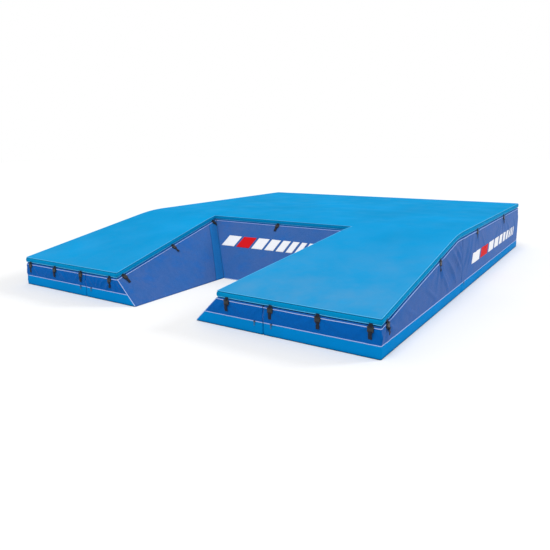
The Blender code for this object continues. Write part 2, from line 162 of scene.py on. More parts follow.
def declare(obj, body, node=None):
    """Hangs a piece on its body's empty and hides the CAD node that it stands for."""
    if node:
        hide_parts(node)
    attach(obj, body)


class Builder:
    """Collects points, faces and UVs in metres, and turns them into one piece."""

    def __init__(self):
        self.points, self.uvs, self.faces = [], [], []

    def add(self, point, uv=(0.0, 0.0)):
        self.points.append(tuple(float(c) for c in point))
        self.uvs.append(uv)
        return len(self.points) - 1

    def strip(self, rows, closed=False, flip=False):
        """Quads between rows of point indices."""
        for a, b in zip(rows, rows[1:]):
            count = len(a)
            for i in range(count if closed else count - 1):
                j = (i + 1) % count
                face = (a[i], a[j], b[j], b[i])
                self.faces.append(face[::-1] if flip else face)

    def cap(self, rows):
        """Closes both ends of a tube of rows."""
        self.faces += [tuple(rows[0]), tuple(reversed(rows[-1]))]

    def piece(self, name, look, body, slot, node=None, fill=None, thick=0.0, side=-1.0, smooth=True):
        """One declared object, its fabric `thick` metres thick towards `side`."""
        mesh = bpy.data.meshes.new(name)
        mesh.from_pydata(self.points, [], self.faces)
        layer = mesh.uv_layers.new(name="metres")
        index = np.zeros(len(mesh.loops), np.int32)
        mesh.loops.foreach_get("vertex_index", index)
        layer.data.foreach_set("uv", np.asarray(self.uvs, np.float32)[index].ravel())
        if smooth:
            mesh.shade_smooth()
        obj = link_mesh(name, mesh, MATERIALS[look])
        if thick:
            modifier = obj.modifiers.new("thickness", "SOLIDIFY")
            modifier.thickness = thick
            modifier.offset = side
        declare(obj, body, node)


# Materials.


class Shader:
    """A node material with the few steps that all the materials here share."""

    def __init__(self, name, roughness=0.5, metallic=0.0):
        self.material = bpy.data.materials.new(name)
        self.material.use_nodes = True
        self.tree = self.material.node_tree
        self.out = self.tree.nodes["Principled BSDF"]
        self.out.inputs["Roughness"].default_value = roughness
        self.out.inputs["Metallic"].default_value = metallic
        self.coords = self.tree.nodes.new("ShaderNodeTexCoord")
        self.height = None

    def node(self, kind, **settings):
        made = self.tree.nodes.new(kind)
        for key, value in settings.items():
            setattr(made, key, value)
        return made

    def link(self, a, b):
        self.tree.links.new(a, b)

    def place(self, node, socket, value):
        if isinstance(value, (int, float, tuple)):
            node.inputs[socket].default_value = value
        else:
            self.link(value, node.inputs[socket])

    def maths(self, operation, a, b=0.0, clamp=False):
        made = self.node("ShaderNodeMath", operation=operation, use_clamp=clamp)
        self.place(made, 0, a)
        self.place(made, 1, b)
        return made.outputs[0]

    def times(self, a, b, clamp=False):
        return self.maths("MULTIPLY", a, b, clamp)

    def wave(self, value, pitch):
        return self.maths("SINE", self.times(value, 2 * math.pi / pitch))

    def off(self, value, place):
        """How far a value is from minus the place."""
        return self.maths("ABSOLUTE", self.maths("ADD", value, place))

    def weave(self, pitch=MESH_PITCH):
        """The mesh's pattern, from -1 to 1, along its UVs."""
        u, v = self.uv()
        return self.times(self.wave(u, pitch), self.wave(v, pitch))

    def noise(self, scale, detail=2.0, stretch=(1, 1, 1), rough=0.5):
        mapping = self.node("ShaderNodeMapping")
        mapping.inputs["Scale"].default_value = stretch
        self.link(self.coords.outputs["Object"], mapping.inputs["Vector"])
        made = self.node("ShaderNodeTexNoise")
        self.link(mapping.outputs[0], made.inputs["Vector"])
        made.inputs["Scale"].default_value = scale
        made.inputs["Detail"].default_value = detail
        made.inputs["Roughness"].default_value = rough
        return made.outputs["Fac"]

    def cells(self, scale, feature="F1"):
        made = self.node("ShaderNodeTexVoronoi", feature=feature)
        self.link(self.coords.outputs["Object"], made.inputs["Vector"])
        made.inputs["Scale"].default_value = scale
        return made.outputs["Distance"]

    def remap(self, value, low, high, to_low=0.0, to_high=1.0):
        made = self.node("ShaderNodeMapRange")
        self.place(made, 0, value)
        for index, number in enumerate((low, high, to_low, to_high)):
            made.inputs[index + 1].default_value = number
        return made.outputs[0]

    def mix(self, factor, a, b):
        made = self.node("ShaderNodeMix", data_type="RGBA")
        self.place(made, 0, factor)
        for socket, colour in ((6, a), (7, b)):
            self.place(made, socket, (*colour, 1.0) if isinstance(colour, tuple) else colour)
        return made.outputs[2]

    def split(self, output):
        made = self.node("ShaderNodeSeparateXYZ")
        self.link(self.coords.outputs[output], made.inputs[0])
        return made.outputs

    def uv(self):
        return self.split("UV")[:2]

    def position(self):
        return self.split("Object")

    def colour(self, value):
        self.place(self.out, "Base Color", (*value, 1.0) if isinstance(value, tuple) else value)

    def roughness(self, value):
        self.link(value, self.out.inputs["Roughness"])

    def bump(self, height, distance, strength=1.0):
        made = self.node("ShaderNodeBump")
        made.inputs["Strength"].default_value = strength
        made.inputs["Distance"].default_value = distance
        self.link(height, made.inputs["Height"])
        if self.height is not None:
            self.link(self.height, made.inputs["Normal"])
        self.height = made.outputs[0]
        self.link(self.height, self.out.inputs["Normal"])

    def sheen(self, weight, roughness, tint):
        self.out.inputs["Sheen Weight"].default_value = weight
        self.out.inputs["Sheen Roughness"].default_value = roughness
        self.out.inputs["Sheen Tint"].default_value = (*tint, 1.0)

    def specular(self, level):
        self.out.inputs["Specular IOR Level"].default_value = level


def scaled(colour, factor):
    return tuple(min(1.0, c * factor) for c in colour)


def stitches(s, places):
    """Where rows of lock stitches run, for UVs in metres: v is the way down from a top edge."""
    u, v = s.uv()
    dash = s.remap(s.wave(u, 0.009), -0.35, -0.15)
    rows = 0.0
    for place in places:
        rows = s.maths("ADD", rows, s.remap(s.off(v, place), 0.0007, 0.0011, 1.0, 0.0))
    return s.times(rows, dash)


def vinyl(name, colour, roughness=0.45, dust_and_sheen=None, ground=False, sewn=(), shade_lines=()):
    """Coated fabric: a fine embossed grain, soft creases and scuffing, and where asked, painted sheen with
    dust on its top, painted shade on its border, painted contact shadow near the ground and lines of painted
    shade.

    sewn and the last argument: how far down from the top edge its rows of stitches and its dark lines of
    painted shade run.
    """
    s = Shader(name)
    base = s.mix(s.remap(s.noise(1.1, 3.0), 0.30, 0.70), scaled(colour, 0.93), scaled(colour, 1.07))
    x, y, z = s.position()
    if dust_and_sheen:
        on_top = s.remap(s.uv()[1], 0.0, 0.001)
        # Painted shade: the border, off the top, is darker.
        base = s.mix(on_top, scaled(colour, 0.80), base)
        # Painted sheen with dust: the top turns greyer in patches towards the front, most on the right arm.
        near = s.times(on_top, s.remap(y, Y_RIDGE + 0.3, Y_FRONT))
        near = s.times(near, s.remap(x, -CUT_X, CUT_X, 0.30, 1.0))
        patches = s.remap(s.noise(2.3, 4.0, rough=0.6), 0.35, 0.75, 0.25, 1.0)
        base = s.mix(s.times(near, patches, clamp=True), base, dust_and_sheen)
    scuffs = s.remap(s.noise(9.0, 6.0, stretch=(1, 0.35, 1), rough=0.7), 0.58, 0.80, 0.0, 0.22)
    base = s.mix(scuffs, base, scaled(colour, 1.35))
    if ground:
        # Painted contact shadow: darker towards the ground, and a dark line along the bottom.
        base = s.mix(s.remap(z, 0.034, 0.008, 0.0, 0.35), base, scaled(colour, 0.45))
        base = s.mix(s.remap(z, 0.0095, 0.0070, 0.0, 0.9), base, scaled(colour, 0.22))
    # Painted shade: dark lines along the border.
    for place in shade_lines:
        off = s.off(s.uv()[1], place)
        base = s.mix(s.remap(off, 0.0015, 0.0050, 0.62, 0.0), base, scaled(colour, 0.30))
    if sewn:
        thread = stitches(s, sewn)
        base = s.mix(thread, base, scaled(colour, 1.7))
        s.bump(thread, 0.0008, 0.8)
    s.colour(base)
    s.roughness(s.remap(s.noise(3.5, 4.0), 0.3, 0.7, roughness - 0.06, roughness + 0.08))
    s.bump(s.noise(5.0, 3.0), 0.004, 0.35)
    s.bump(s.noise(30.0, 3.0, stretch=(1, 0.6, 1)), 0.0008, 0.30)
    s.bump(s.cells(650.0), 0.00025, 0.35)
    s.specular(0.004)
    return s.material


def air_mesh(name, colour, sheen_tone, pale_sheen_tone):
    """Knitted air mesh: rows of small open holes in a matte yarn, with painted grey-violet sheen on all but
    the front walls.
    """
    s = Shader(name, roughness=0.82)
    x, y, z = s.position()
    weave = s.weave()
    patches = s.remap(s.noise(1.9, 5.0, rough=0.65), 0.32, 0.68)
    # Painted sheen: the walls behind the front walls get greyer, violet tones in patches, with gaps where
    # the plain blue shows.
    behind = s.remap(y, Y_FRONT + SETBACK + 0.003, Y_FRONT + SETBACK + 0.012)
    sheen_gaps = s.remap(s.noise(3.1, 5.0, stretch=(1, 1, 1.6), rough=0.7), 0.50, 0.68, 0.0, 0.55)
    yarn = s.mix(behind, colour, s.mix(sheen_gaps, s.mix(patches, sheen_tone, pale_sheen_tone), scaled(colour, 1.12)))
    mottle = s.remap(s.noise(15.0, 5.0, rough=0.7), 0.35, 0.65)
    yarn = s.mix(s.times(mottle, 0.22), yarn, scaled(colour, 0.70))
    # Painted light: the walls behind the front walls grow lighter towards the rear.
    yarn = s.mix(s.times(behind, s.remap(y, Y_FRONT, Y_REAR, 0.0, 0.30)), yarn, WALL_PAINTED_LIGHT)
    # The corner panel of the cut-out's side walls, which reaches a little way forward of its back wall.
    forward = s.maths("SUBTRACT", CUT_Y, s.maths("SUBTRACT", y, z))
    aside = s.maths("ABSOLUTE", x)
    on_side = s.remap(s.maths("SUBTRACT", aside, z), CUT_X - 0.038, CUT_X - 0.034)
    middle = s.times(s.remap(aside, 1.60, 1.62, 1.0, 0.0), on_side)
    panel = s.times(s.remap(forward, 0.001, 0.004), s.remap(forward, 0.166, 0.170, 1.0, 0.0))
    yarn = s.mix(s.times(s.times(panel, middle), 0.75), yarn, CORNER_PANEL)
    seam = s.remap(s.maths("ABSOLUTE", s.maths("SUBTRACT", forward, 0.170)), 0.002, 0.007, 0.75, 0.0)
    yarn = s.mix(s.times(seam, middle), yarn, scaled(colour, 0.35))
    s.colour(s.mix(s.remap(weave, 0.25, 0.85, 0.0, 0.50), yarn, scaled(colour, 0.35)))
    s.bump(s.noise(7.0, 4.0), 0.006, 0.45)
    s.bump(s.noise(26.0, 4.0, stretch=(1, 1, 0.5)), 0.0022, 0.40)
    s.bump(weave, 0.0006, 0.50)
    s.sheen(0.16, 0.34, (0.62, 0.50, 0.72))
    s.specular(0.03)
    return s.material


def webbing(name, colour, light=1.6):
    """Woven webbing: ribs across the strap and a fine twill along it."""
    s = Shader(name, roughness=0.72)
    u, v = s.uv()
    weave = s.times(s.wave(v, 0.0022), s.wave(s.maths("ADD", u, v), 0.0031))
    fuzz = s.remap(s.noise(60.0, 3.0), 0.35, 0.75, 0.0, 0.5)
    yarn = s.mix(s.remap(weave, -1.0, 1.0), scaled(colour, 0.6), colour)
    s.colour(s.mix(fuzz, yarn, scaled(colour, light)))
    s.bump(weave, 0.0004, 0.6)
    s.sheen(0.03, 0.5, (0.8, 0.8, 0.9))
    s.specular(0.15)
    return s.material


def moulded(name, colour, roughness=0.42):
    s = Shader(name)
    wear = s.remap(s.noise(80.0, 4.0), 0.55, 0.80, 0.0, 0.5)
    s.colour(s.mix(wear, colour, scaled(colour, 3.0)))
    s.roughness(s.remap(s.noise(140.0, 3.0), 0.3, 0.7, roughness - 0.08, roughness + 0.12))
    s.bump(s.cells(1800.0), 0.0001, 0.5)
    return s.material


def plated(name):
    s = Shader(name, metallic=1.0)
    tarnish = s.remap(s.noise(120.0, 5.0), 0.45, 0.75)
    s.colour(s.mix(tarnish, (0.16, 0.17, 0.19), (0.07, 0.07, 0.08)))
    s.roughness(s.remap(s.noise(90.0, 4.0), 0.3, 0.7, 0.26, 0.46))
    s.bump(s.noise(300.0, 2.0), 0.0001, 0.4)
    return s.material


def foam(name, colour):
    """Open-cell foam: fine pores, larger bubbles and uneven yellowing."""
    s = Shader(name, roughness=0.95)
    ageing = s.remap(s.noise(2.0, 4.0), 0.3, 0.7)
    pores = s.remap(s.cells(320.0), 0.0, 0.55, 0.55, 0.0)
    base = s.mix(ageing, colour, scaled(colour, 0.86))
    s.colour(s.mix(pores, base, scaled(colour, 0.55)))
    s.bump(s.cells(320.0), 0.0012, 0.7)
    s.bump(s.cells(90.0), 0.0016, 0.4)
    return s.material


def backing_cloth(name, colour):
    s = Shader(name, roughness=0.9)
    x, y, _ = s.position()
    weave = s.maths("ADD", s.wave(x, 0.003), s.wave(y, 0.003))
    s.colour(s.mix(s.remap(s.noise(4.0, 5.0), 0.35, 0.7), colour, scaled(colour, 1.8)))
    s.bump(weave, 0.0004, 0.6)
    return s.material


def print_ink(name, colour):
    """Screen-printed ink, which lets the mesh under it show as fine dark pinholes."""
    s = Shader(name, roughness=0.55)
    weave = s.weave()
    s.colour(s.mix(s.remap(weave, 0.55, 0.95, 0.0, 0.30), colour, scaled(colour, 0.5)))
    s.specular(0.04)
    s.bump(weave, 0.0003, 0.4)
    return s.material


MATERIALS = {
    "cover": vinyl("cover_vinyl_look", COVER_BLUE, 0.50, COVER_DUST_AND_SHEEN, False, (0.024, 0.055), (0.016, 0.062)),
    "welt": vinyl("welt_vinyl_look", WELT_HIGHLIGHT_BLUE, 0.40),
    "band": vinyl("band_vinyl_look", BAND_BLUE, 0.45, ground=True, sewn=(0.009,)),
    "wall": air_mesh("air_mesh_look", WALL_BLUE, WALL_SHEEN, WALL_SHEEN_PALE),
    "piping": vinyl("piping_look", PIPING_PALE, 0.45),
    "binding": webbing("binding_tape_look", scaled(WALL_BLUE, 1.1), 1.3),
    "strap": webbing("strap_look", (0.014, 0.018, 0.030), 1.8),
    "joining": webbing("joining_strap_look", (0.030, 0.090, 0.260), 1.4),
    "plastic": moulded("buckle_plastic_look", (0.010, 0.010, 0.011)),
    "metal": plated("zip_metal_look"),
    "foam": foam("foam_look", FOAM_YELLOW),
    "cloth": backing_cloth("backing_cloth_look", (0.045, 0.055, 0.075)),
    "white_ink": print_ink("white_ink_look", (0.86, 0.87, 0.90)),
    "red_ink": print_ink("red_ink_look", (0.66, 0.008, 0.012)),
}


# The wear cover: a boxed cushion in one piece, with a border between a top and a bottom welt.


def cover_inner_x(y):
    """The edge of the wear cover over the cut-out, on the right."""
    along = min(y, Y_RIDGE) - Y_FRONT
    return CUT_X - SETBACK + (FRONT_HEIGHT - COVER_DROP) + SLOPE * along


def cover_outline():
    """The wear cover's corners in plan, anticlockwise from the right arm's inner front corner."""
    front_x, ridge_x = cover_inner_x(Y_FRONT), cover_inner_x(Y_RIDGE)
    right = [(front_x, Y_FRONT), (HALF_WIDTH, Y_FRONT), (HALF_WIDTH, Y_REAR)]
    left = [(-x, y) for x, y in reversed(right)]
    return right + left + [(-ridge_x, Y_RIDGE), (ridge_x, Y_RIDGE)]


OUTLINE = np.array(cover_outline())


def distance_to_outline(x, y):
    p = np.array((x, y))
    best = 1e9
    for a, b in zip(OUTLINE, np.roll(OUTLINE, -1, axis=0)):
        t = np.clip((p - a) @ (b - a) / ((b - a) @ (b - a)), 0, 1)
        best = min(best, float(np.linalg.norm(p - a - t * (b - a))))
    return best


def cover_surface(x, y):
    """The height of the wear cover's top: softer towards its edges, with slow dents in the foam."""
    edge = distance_to_outline(x, y)
    inside = 1 - math.exp(-edge / 0.18)
    soft = -EDGE_DIP * math.exp(-edge / 0.07)
    dents = 0.0040 * wave_noise((x, y, 0), 0.75, 3.1) + 0.0016 * wave_noise((x, y, 0), 0.22, 7.7)
    return top_height(y) + soft + (dents - 0.002) * inside


def graded(low, high, pitch):
    count = max(2, round((high - low) / pitch))
    return [low + (high - low) * i / count for i in range(count + 1)]


def cover_grid(inset, pitch, height):
    """Points over the wear cover's plan, `inset` from its outline: (builder, boundary loop of indices)."""
    build, index = Builder(), {}
    lean = inset * math.sqrt(1 + SLOPE * SLOPE)
    front_rows = graded(Y_FRONT + inset, Y_RIDGE + inset, pitch)
    rear_rows = graded(Y_RIDGE + inset, Y_REAR - inset, pitch)[1:]
    side = graded(0.0, 1.0, pitch / (HALF_WIDTH - cover_inner_x(Y_FRONT)))
    middle = graded(-1.0, 1.0, pitch / cover_inner_x(Y_RIDGE))[1:-1]
    columns = [("left", t) for t in reversed(side)] + [("middle", t) for t in middle]
    columns += [("right", t) for t in side]
    for j, y in enumerate(front_rows + rear_rows):
        low = cover_inner_x(y) + (lean if y < Y_RIDGE else inset)
        for i, (part, t) in enumerate(columns):
            if part == "middle":
                if j < len(front_rows) - 1:
                    continue
                x = t * low
            else:
                x = (low + (HALF_WIDTH - inset - low) * t) * (1 if part == "right" else -1)
            index[i, j] = build.add((x, y, height(x, y)), (x, y + TOP_UV))
    last_i, last_j, ridge_j = len(columns) - 1, len(front_rows + rear_rows) - 1, len(front_rows) - 1
    for i in range(last_i):
        for j in range(last_j):
            corners = [index.get(c) for c in ((i, j), (i + 1, j), (i + 1, j + 1), (i, j + 1))]
            if None not in corners:
                build.faces.append(tuple(corners))
    left_in, right_in = len(side) - 1, len(side) + len(middle)
    loop = [(i, 0) for i in range(right_in, last_i)]
    loop += [(last_i, j) for j in range(last_j)]
    loop += [(i, last_j) for i in range(last_i, 0, -1)]
    loop += [(0, j) for j in range(last_j, 0, -1)]
    loop += [(i, 0) for i in range(left_in)]
    loop += [(left_in, j) for j in range(ridge_j)]
    loop += [(i, ridge_j) for i in range(left_in, right_in)]
    loop += [(right_in, j) for j in range(ridge_j, 0, -1)]
    return build, [index[key] for key in loop]


def mitres(points):
    """The outward offset direction at each point of a closed anticlockwise loop in plan."""
    flat = np.array([p[:2] for p in points])
    ahead = np.roll(flat, -1, axis=0) - flat
    ahead /= np.linalg.norm(ahead, axis=1)[:, None]
    normals = np.stack([ahead[:, 1], -ahead[:, 0]], axis=1)
    before = np.roll(normals, 1, axis=0)
    dots = (normals * before).sum(axis=1)
    return (normals + before) / (1 + dots)[:, None]


def loop_lengths(points):
    flat = np.array(points)
    steps = np.linalg.norm(flat - np.roll(flat, 1, axis=0), axis=1)
    steps[0] = 0.0
    return np.cumsum(steps)


def buckle_pull(p):
    """How much a buckle's strap pinches the wear cover's edge near the point, from 0 to 1."""
    best = min(np.linalg.norm(p - buckle["point"]) for buckle in BUCKLES)
    return math.exp(-((best / 0.06) ** 2))


def cover_profile():
    """(outward offset from the inset loop, drop, bulge) down the border and under it."""
    rows = []
    for angle, bulge in ((25, 0.0), (45, -0.4), (58, -1.2), (72, -0.3), (90, 0.3)):
        a = math.radians(angle)
        rows.append((COVER_ROUND * math.sin(a), COVER_ROUND * (1 - math.cos(a)), bulge))
    low = COVER_THICK - COVER_BOTTOM_ROUND
    for share in (0.2, 0.4, 0.6, 0.8, 0.93, 1.0, 1.06):
        drop = COVER_ROUND + (low - COVER_ROUND) * share
        bulge = math.sin(math.pi * min(share, 0.93)) if share < 0.99 else (-1.0 if share == 1.0 else 0.0)
        rows.append((COVER_ROUND, drop, bulge))
    for angle in (45, 90):
        a = math.radians(angle)
        out = COVER_ROUND - COVER_BOTTOM_ROUND * (1 - math.cos(a))
        rows.append((out, low + COVER_BOTTOM_ROUND * math.sin(a), 0.0))
    rows.append((COVER_ROUND - COVER_BOTTOM_ROUND - 0.015, COVER_THICK, 0.0))
    rows.append((COVER_ROUND - COVER_HEM, COVER_THICK, 0.0))
    return rows


TOP_WELT_ROW, LOW_WELT_ROW = 2, 10  # of the profile's rows


def border_point(base, mitre, offset, drop, bulge):
    x, y = base[0] + mitre[0] * offset, base[1] + mitre[1] * offset
    share = drop / COVER_THICK
    fold = (1 - share) * top_height(y) + share * top_height(y, UNDER_BLEND)
    p = vec(x, y, fold - drop - EDGE_DIP * math.exp(-drop / 0.03))
    push = 0.0055 * bulge
    if drop > COVER_ROUND * 0.6 and offset > COVER_ROUND * 0.5:
        full = max(bulge, 0.0)
        push += 0.0024 * wave_noise(p, 0.13, 1.3) * (0.4 + full) + 0.0018 * wave_noise(p, 0.035, 5.0) * full
        push -= 0.005 * buckle_pull(p) * min(1.0, share)
        p[2] += 0.0022 * wave_noise((x, y, 0), 0.30, 8.0) * math.sin(math.pi * min(share, 1.0))
    return p + vec(mitre[0], mitre[1], 0) * push


def make_wear_cover():
    build, loop = cover_grid(COVER_ROUND, 0.045, cover_surface)
    base = [build.points[i] for i in loop]
    directions, lengths = mitres(base), loop_lengths(base)
    for i, p in zip(loop, base):
        build.points[i] = (p[0], p[1], top_height(p[1]) - EDGE_DIP)
    rows, rings = [loop], []
    for offset, drop, bulge in cover_profile():
        ring = [border_point(b, m, offset, drop, bulge) for b, m in zip(base, directions)]
        rings.append(ring)
        rows.append([build.add(p, (s, -drop)) for p, s in zip(ring, lengths)])
    build.strip(rows, closed=True, flip=True)
    build.piece("wear_cover_shell", "cover", "wear_cover", "cover_vinyl", "wear_cover_top", 0.92, SKIN_THICK)

    welts = []
    for row, out, up in ((TOP_WELT_ROW, 0.0052, 0.0032), (LOW_WELT_ROW, 0.0040, 0.0)):
        welts.append(([p + vec(m[0] * out, m[1] * out, up) for p, m in zip(rings[row], directions)], True))
    make_tubes("wear_cover_welts", welts, WELT_RADIUS, "welt", "wear_cover", "cover_vinyl")


def make_cover_underside():
    def under(x, y):
        return lower_edge(y) + 0.0012 + 0.0004 * wave_noise((x, y, 0), 0.3, 2.0)

    build, _ = cover_grid(BACKING_INSET, 0.12, under)
    build.faces = [face[::-1] for face in build.faces]
    node = "wear_cover_underside"
    build.piece("wear_cover_backing", "cloth", "wear_cover", "underside", node, thick=BACKING_THICK)


# Tubes, ribbons and small solids.


def tube_points(path, radius, closed, sides=8):
    """Rings of points round a path."""
    path = np.array(path)
    count = len(path)
    rings, normal = [], None
    for i in range(count):
        before = path[i - 1] if (i or closed) else path[i]
        after = path[(i + 1) % count] if (i < count - 1 or closed) else path[i]
        along = unit(after - before)
        if normal is None:
            normal = unit(np.cross(along, (0, 0, 1) if abs(along[2]) < 0.9 else (1, 0, 0)))
        normal = unit(normal - along * (normal @ along))
        other = np.cross(along, normal)
        angles = [2 * math.pi * k / sides for k in range(sides)]
        rings.append([path[i] + radius * (math.cos(a) * normal + math.sin(a) * other) for a in angles])
    return rings


def make_tubes(name, paths, radius, look, body, slot):
    """Round cords along paths, each path with whether it is closed."""
    build = Builder()
    for path, closed in paths:
        rows = []
        for ring, s in zip(tube_points(path, radius, closed), loop_lengths(path)):
            rows.append([build.add(p, (k * radius, s)) for k, p in enumerate(ring)])
        build.strip(rows + [rows[0]] if closed else rows, closed=True)
        if not closed:
            build.cap(rows)
    build.piece(name, look, body, slot)


def add_ribbon(build, path, across, width, thickness):
    """A flat strap along a path. across: the direction of its width."""
    path = [np.array(p) for p in path]
    rows, length = [], 0.0
    for i, p in enumerate(path):
        before, after = path[max(i - 1, 0)], path[min(i + 1, len(path) - 1)]
        along = unit(after - before)
        side = unit(across - along * (across @ along))
        out = np.cross(side, along)
        length += np.linalg.norm(p - before) if i else 0.0
        ring = []
        for a, b in ((-0.5, -0.5), (-0.46, 0.5), (0.46, 0.5), (0.5, -0.5)):
            ring.append(build.add(p + side * a * width + out * b * thickness, (a * width, length)))
        rows.append(ring)
    build.strip(rows, closed=True, flip=True)
    build.cap(rows)


# The blocks. A block's walls may lean: `lean` is how far each moves for each metre of height.


LEVEL = {"front": vec(0, -1, 0), "right": vec(1, 0, 0), "rear": vec(0, 1, 0), "left": vec(-1, 0, 0)}
SIDES = tuple(LEVEL)  # anticlockwise, each with its outward direction in plan
RING_PITCH = 0.015
HIDDEN_PITCH = 0.10
WALL_ROWS, BARE_ROWS = 32, 40
BINDING_MIDDLE, BINDING_WIDE = 0.013, 0.014  # below the wear cover's edge
WEBBING_WIDE, WEBBING_THICK = 0.038, 0.0014
TOP_CORD_ROW = 6  # of a wall ring: where the wall starts, under the rounded edge


class Block:
    def __init__(self, name, x0, x1, y0, y1, lean, bare, hidden):
        self.name, self.x0, self.x1, self.y0, self.y1 = name, x0, x1, y0, y1
        self.lean_left, self.lean_right, self.lean_front = lean
        self.bare, self.hidden = bare, hidden

    def left(self, z):
        return self.x0 + self.lean_left * z

    def right(self, z):
        return self.x1 + self.lean_right * z

    def front(self, z):
        return self.y0 + self.lean_front * z

    def banded(self):
        """Its walls with a band, anticlockwise."""
        start = SIDES.index(self.bare) + 1 if self.bare else 0
        return [SIDES[(start + k) % 4] for k in range(3 if self.bare else 4)]

    def hides(self, station):
        return all(side in self.hidden for side in station[0] if side)

    def point(self, side, t, z=None):
        """A point on a wall, t along it anticlockwise, at height z or, with none, at its top."""
        y0 = self.front(BLOCK_TOP if z is None else z)
        if side in ("front", "rear"):
            y = self.y1 if side == "rear" else y0
        else:
            y = y0 + (self.y1 - y0) * (t if side == "right" else 1 - t)
        height = block_height(y) if z is None else z
        a, b = self.left(height), self.right(height)
        if side in ("front", "rear"):
            x = a + (b - a) * (t if side == "front" else 1 - t)
        else:
            x = b if side == "right" else a
        return vec(x, y, height)

    def normal(self, side):
        leans = {"front": self.lean_front, "right": -self.lean_right, "left": self.lean_left}
        return unit(LEVEL[side] + vec(0, 0, leans.get(side, 0)))

    def length(self, side):
        return float(np.linalg.norm(self.point(side, 1.0, BAND) - self.point(side, 0.0, BAND)))


def blocks():
    made = []
    for side, other, inner_lean in (("right", "left", (1, 0, 0)), ("left", "right", (0, -1, 0))):
        for part, lean, bare, hidden in (
            ("front_outer_", (0, 0, 0), None, ("rear", other)),
            ("front_inner_", inner_lean, other, ("rear", side)),
            ("rear_", (0, 0, 0), None, ("front", other)),
        ):
            low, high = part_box(part + side + "_upper_cover")
            made.append(Block(part + side, low.x, high.x, low.y, high.y, lean, bare, hidden))
    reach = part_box("centre_upper_cover")[1].x - BLOCK_TOP
    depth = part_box("centre_base_tray")[1].y
    hidden = ("right", "rear", "left")
    return made + [Block("centre", -reach, reach, CUT_Y, depth, (-1, 1, 1), "front", hidden)]


# Folds in the side walls: fans under the straps, and slack folds by the ridge.


RELIEF = {}


def relief_on(normal):
    """The buckles and slack folds of the wall with this normal."""
    key = tuple(round(float(c), 2) for c in normal)
    if key not in RELIEF:
        buckles = [buckle for buckle in BUCKLES if buckle["normal"] @ normal > 0.9]
        RELIEF[key] = buckles, [fold for fold in SLACK_FOLDS if fold[-1] @ normal > 0.9]
    return RELIEF[key]


def wall_folds(p, normal):
    """How far the fabric stands out from its flat wall at a point, apart from the even bulge."""
    buckles, slack = relief_on(normal)
    total = 0.0
    for buckle in buckles:
        d = p - buckle["point"]
        reach = math.sqrt(d @ d)
        if reach > 0.8:
            continue
        angle = math.atan2(d @ buckle["across"], d @ buckle["down"])
        fan = math.cos(buckle["fan"] * angle + buckle["phase"] + 2.5 * reach)
        near = math.exp(-reach / 0.17) * (1 - math.exp(-((reach / 0.05) ** 2)))
        total += buckle["fold"] * fan * near
    for start, end, width, height, _ in slack:
        line = end - start
        t = min(max((p - start) @ line / (line @ line), 0.0), 1.0)
        off = p - start - t * line
        near = math.exp(-(off @ off) / (width * width))
        if near > 0.001:
            total += height * near * math.sin(math.pi * (0.10 + 0.80 * t))
    return total if total > 0 else 0.35 * total  # the foam behind stops a valley


def wall_bulge(p, normal, share):
    """The outward swell of a block's wall: share runs from 0 at its top to 1 at its bottom."""
    swell = 0.006 * math.sin(math.pi * min(max(share, 0.0), 1.0)) ** 0.7
    slow = 0.0040 * wave_noise(p, 0.42, 4.4) + 0.0018 * wave_noise(p * vec(1, 1, 0.5), 0.10, 9.0)
    level = p * vec(1, 1, 0.15)
    gather = math.exp(-share * 9) + math.exp(-(1 - share) * 12)
    slow += 0.0016 * wave_noise(level, 0.030, 2.6) * gather
    edge = math.sin(math.pi * min(max(share, 0.02), 0.98)) ** 0.4
    return SKIN_LIFT + swell + (slow + wall_folds(p, normal)) * edge


def ring_stations(block, sides, pitch, closed):
    """Stations round a block: (the walls at it, position t), anticlockwise."""
    stations = []
    for number, side in enumerate(sides):
        length = block.length(side)
        step = max(pitch, HIDDEN_PITCH) if side in block.hidden else pitch
        inner = graded(CORNER_ROUND / length, 1 - CORNER_ROUND / length, step / length)
        before = sides[number - 1] if (number or closed) else None
        stations.append(((before, side), 0.0))
        stations += [((side,), t) for t in inner]
    if not closed:
        stations.append(((sides[-1], None), 1.0))
    return stations


def station_frame(block, station, z):
    """(point, outward normal, outward direction in plan) of a station at height z, or at the top."""
    sides, t = station
    if len(sides) == 1 or None in sides:
        side = sides[0] or sides[-1]
        return block.point(side, t, z), block.normal(side), LEVEL[side]
    before, after = sides
    n1, n2 = block.normal(before), block.normal(after)
    level = LEVEL[before] + LEVEL[after]
    shift = (1 - math.sqrt(0.5)) * CORNER_ROUND
    return block.point(after, 0.0, z) - level * shift, (n1 + n2) / (1 + n1 @ n2), level


def add_ring(build, block, sides, closed, pitch, rows):
    """A band of fabric round a block, rows: (function, its values). It gives its columns of points."""
    columns, grid, distance = [], [], 0.0
    for station in ring_stations(block, sides, pitch, closed):
        column = [row(block, station, *values) for row, *values in rows]
        middle = len(column) // 2
        if columns:
            distance += float(np.linalg.norm(column[middle] - columns[-1][middle]))
        heights = np.cumsum([0.0] + [float(np.linalg.norm(b - a)) for a, b in zip(column, column[1:])])
        grid.append([build.add(p, (distance, -h)) for p, h in zip(column, heights)])
        columns.append(column)
    build.strip(list(zip(*grid)), closed=closed, flip=True)
    return columns


def top_row(block, station, inward):
    """A point of a row on the block's top, a given way in from the wall."""
    p, _, level = station_frame(block, station, None)
    p = p - level * inward
    return vec(p[0], p[1], block_height(p[1]) + 0.0008)


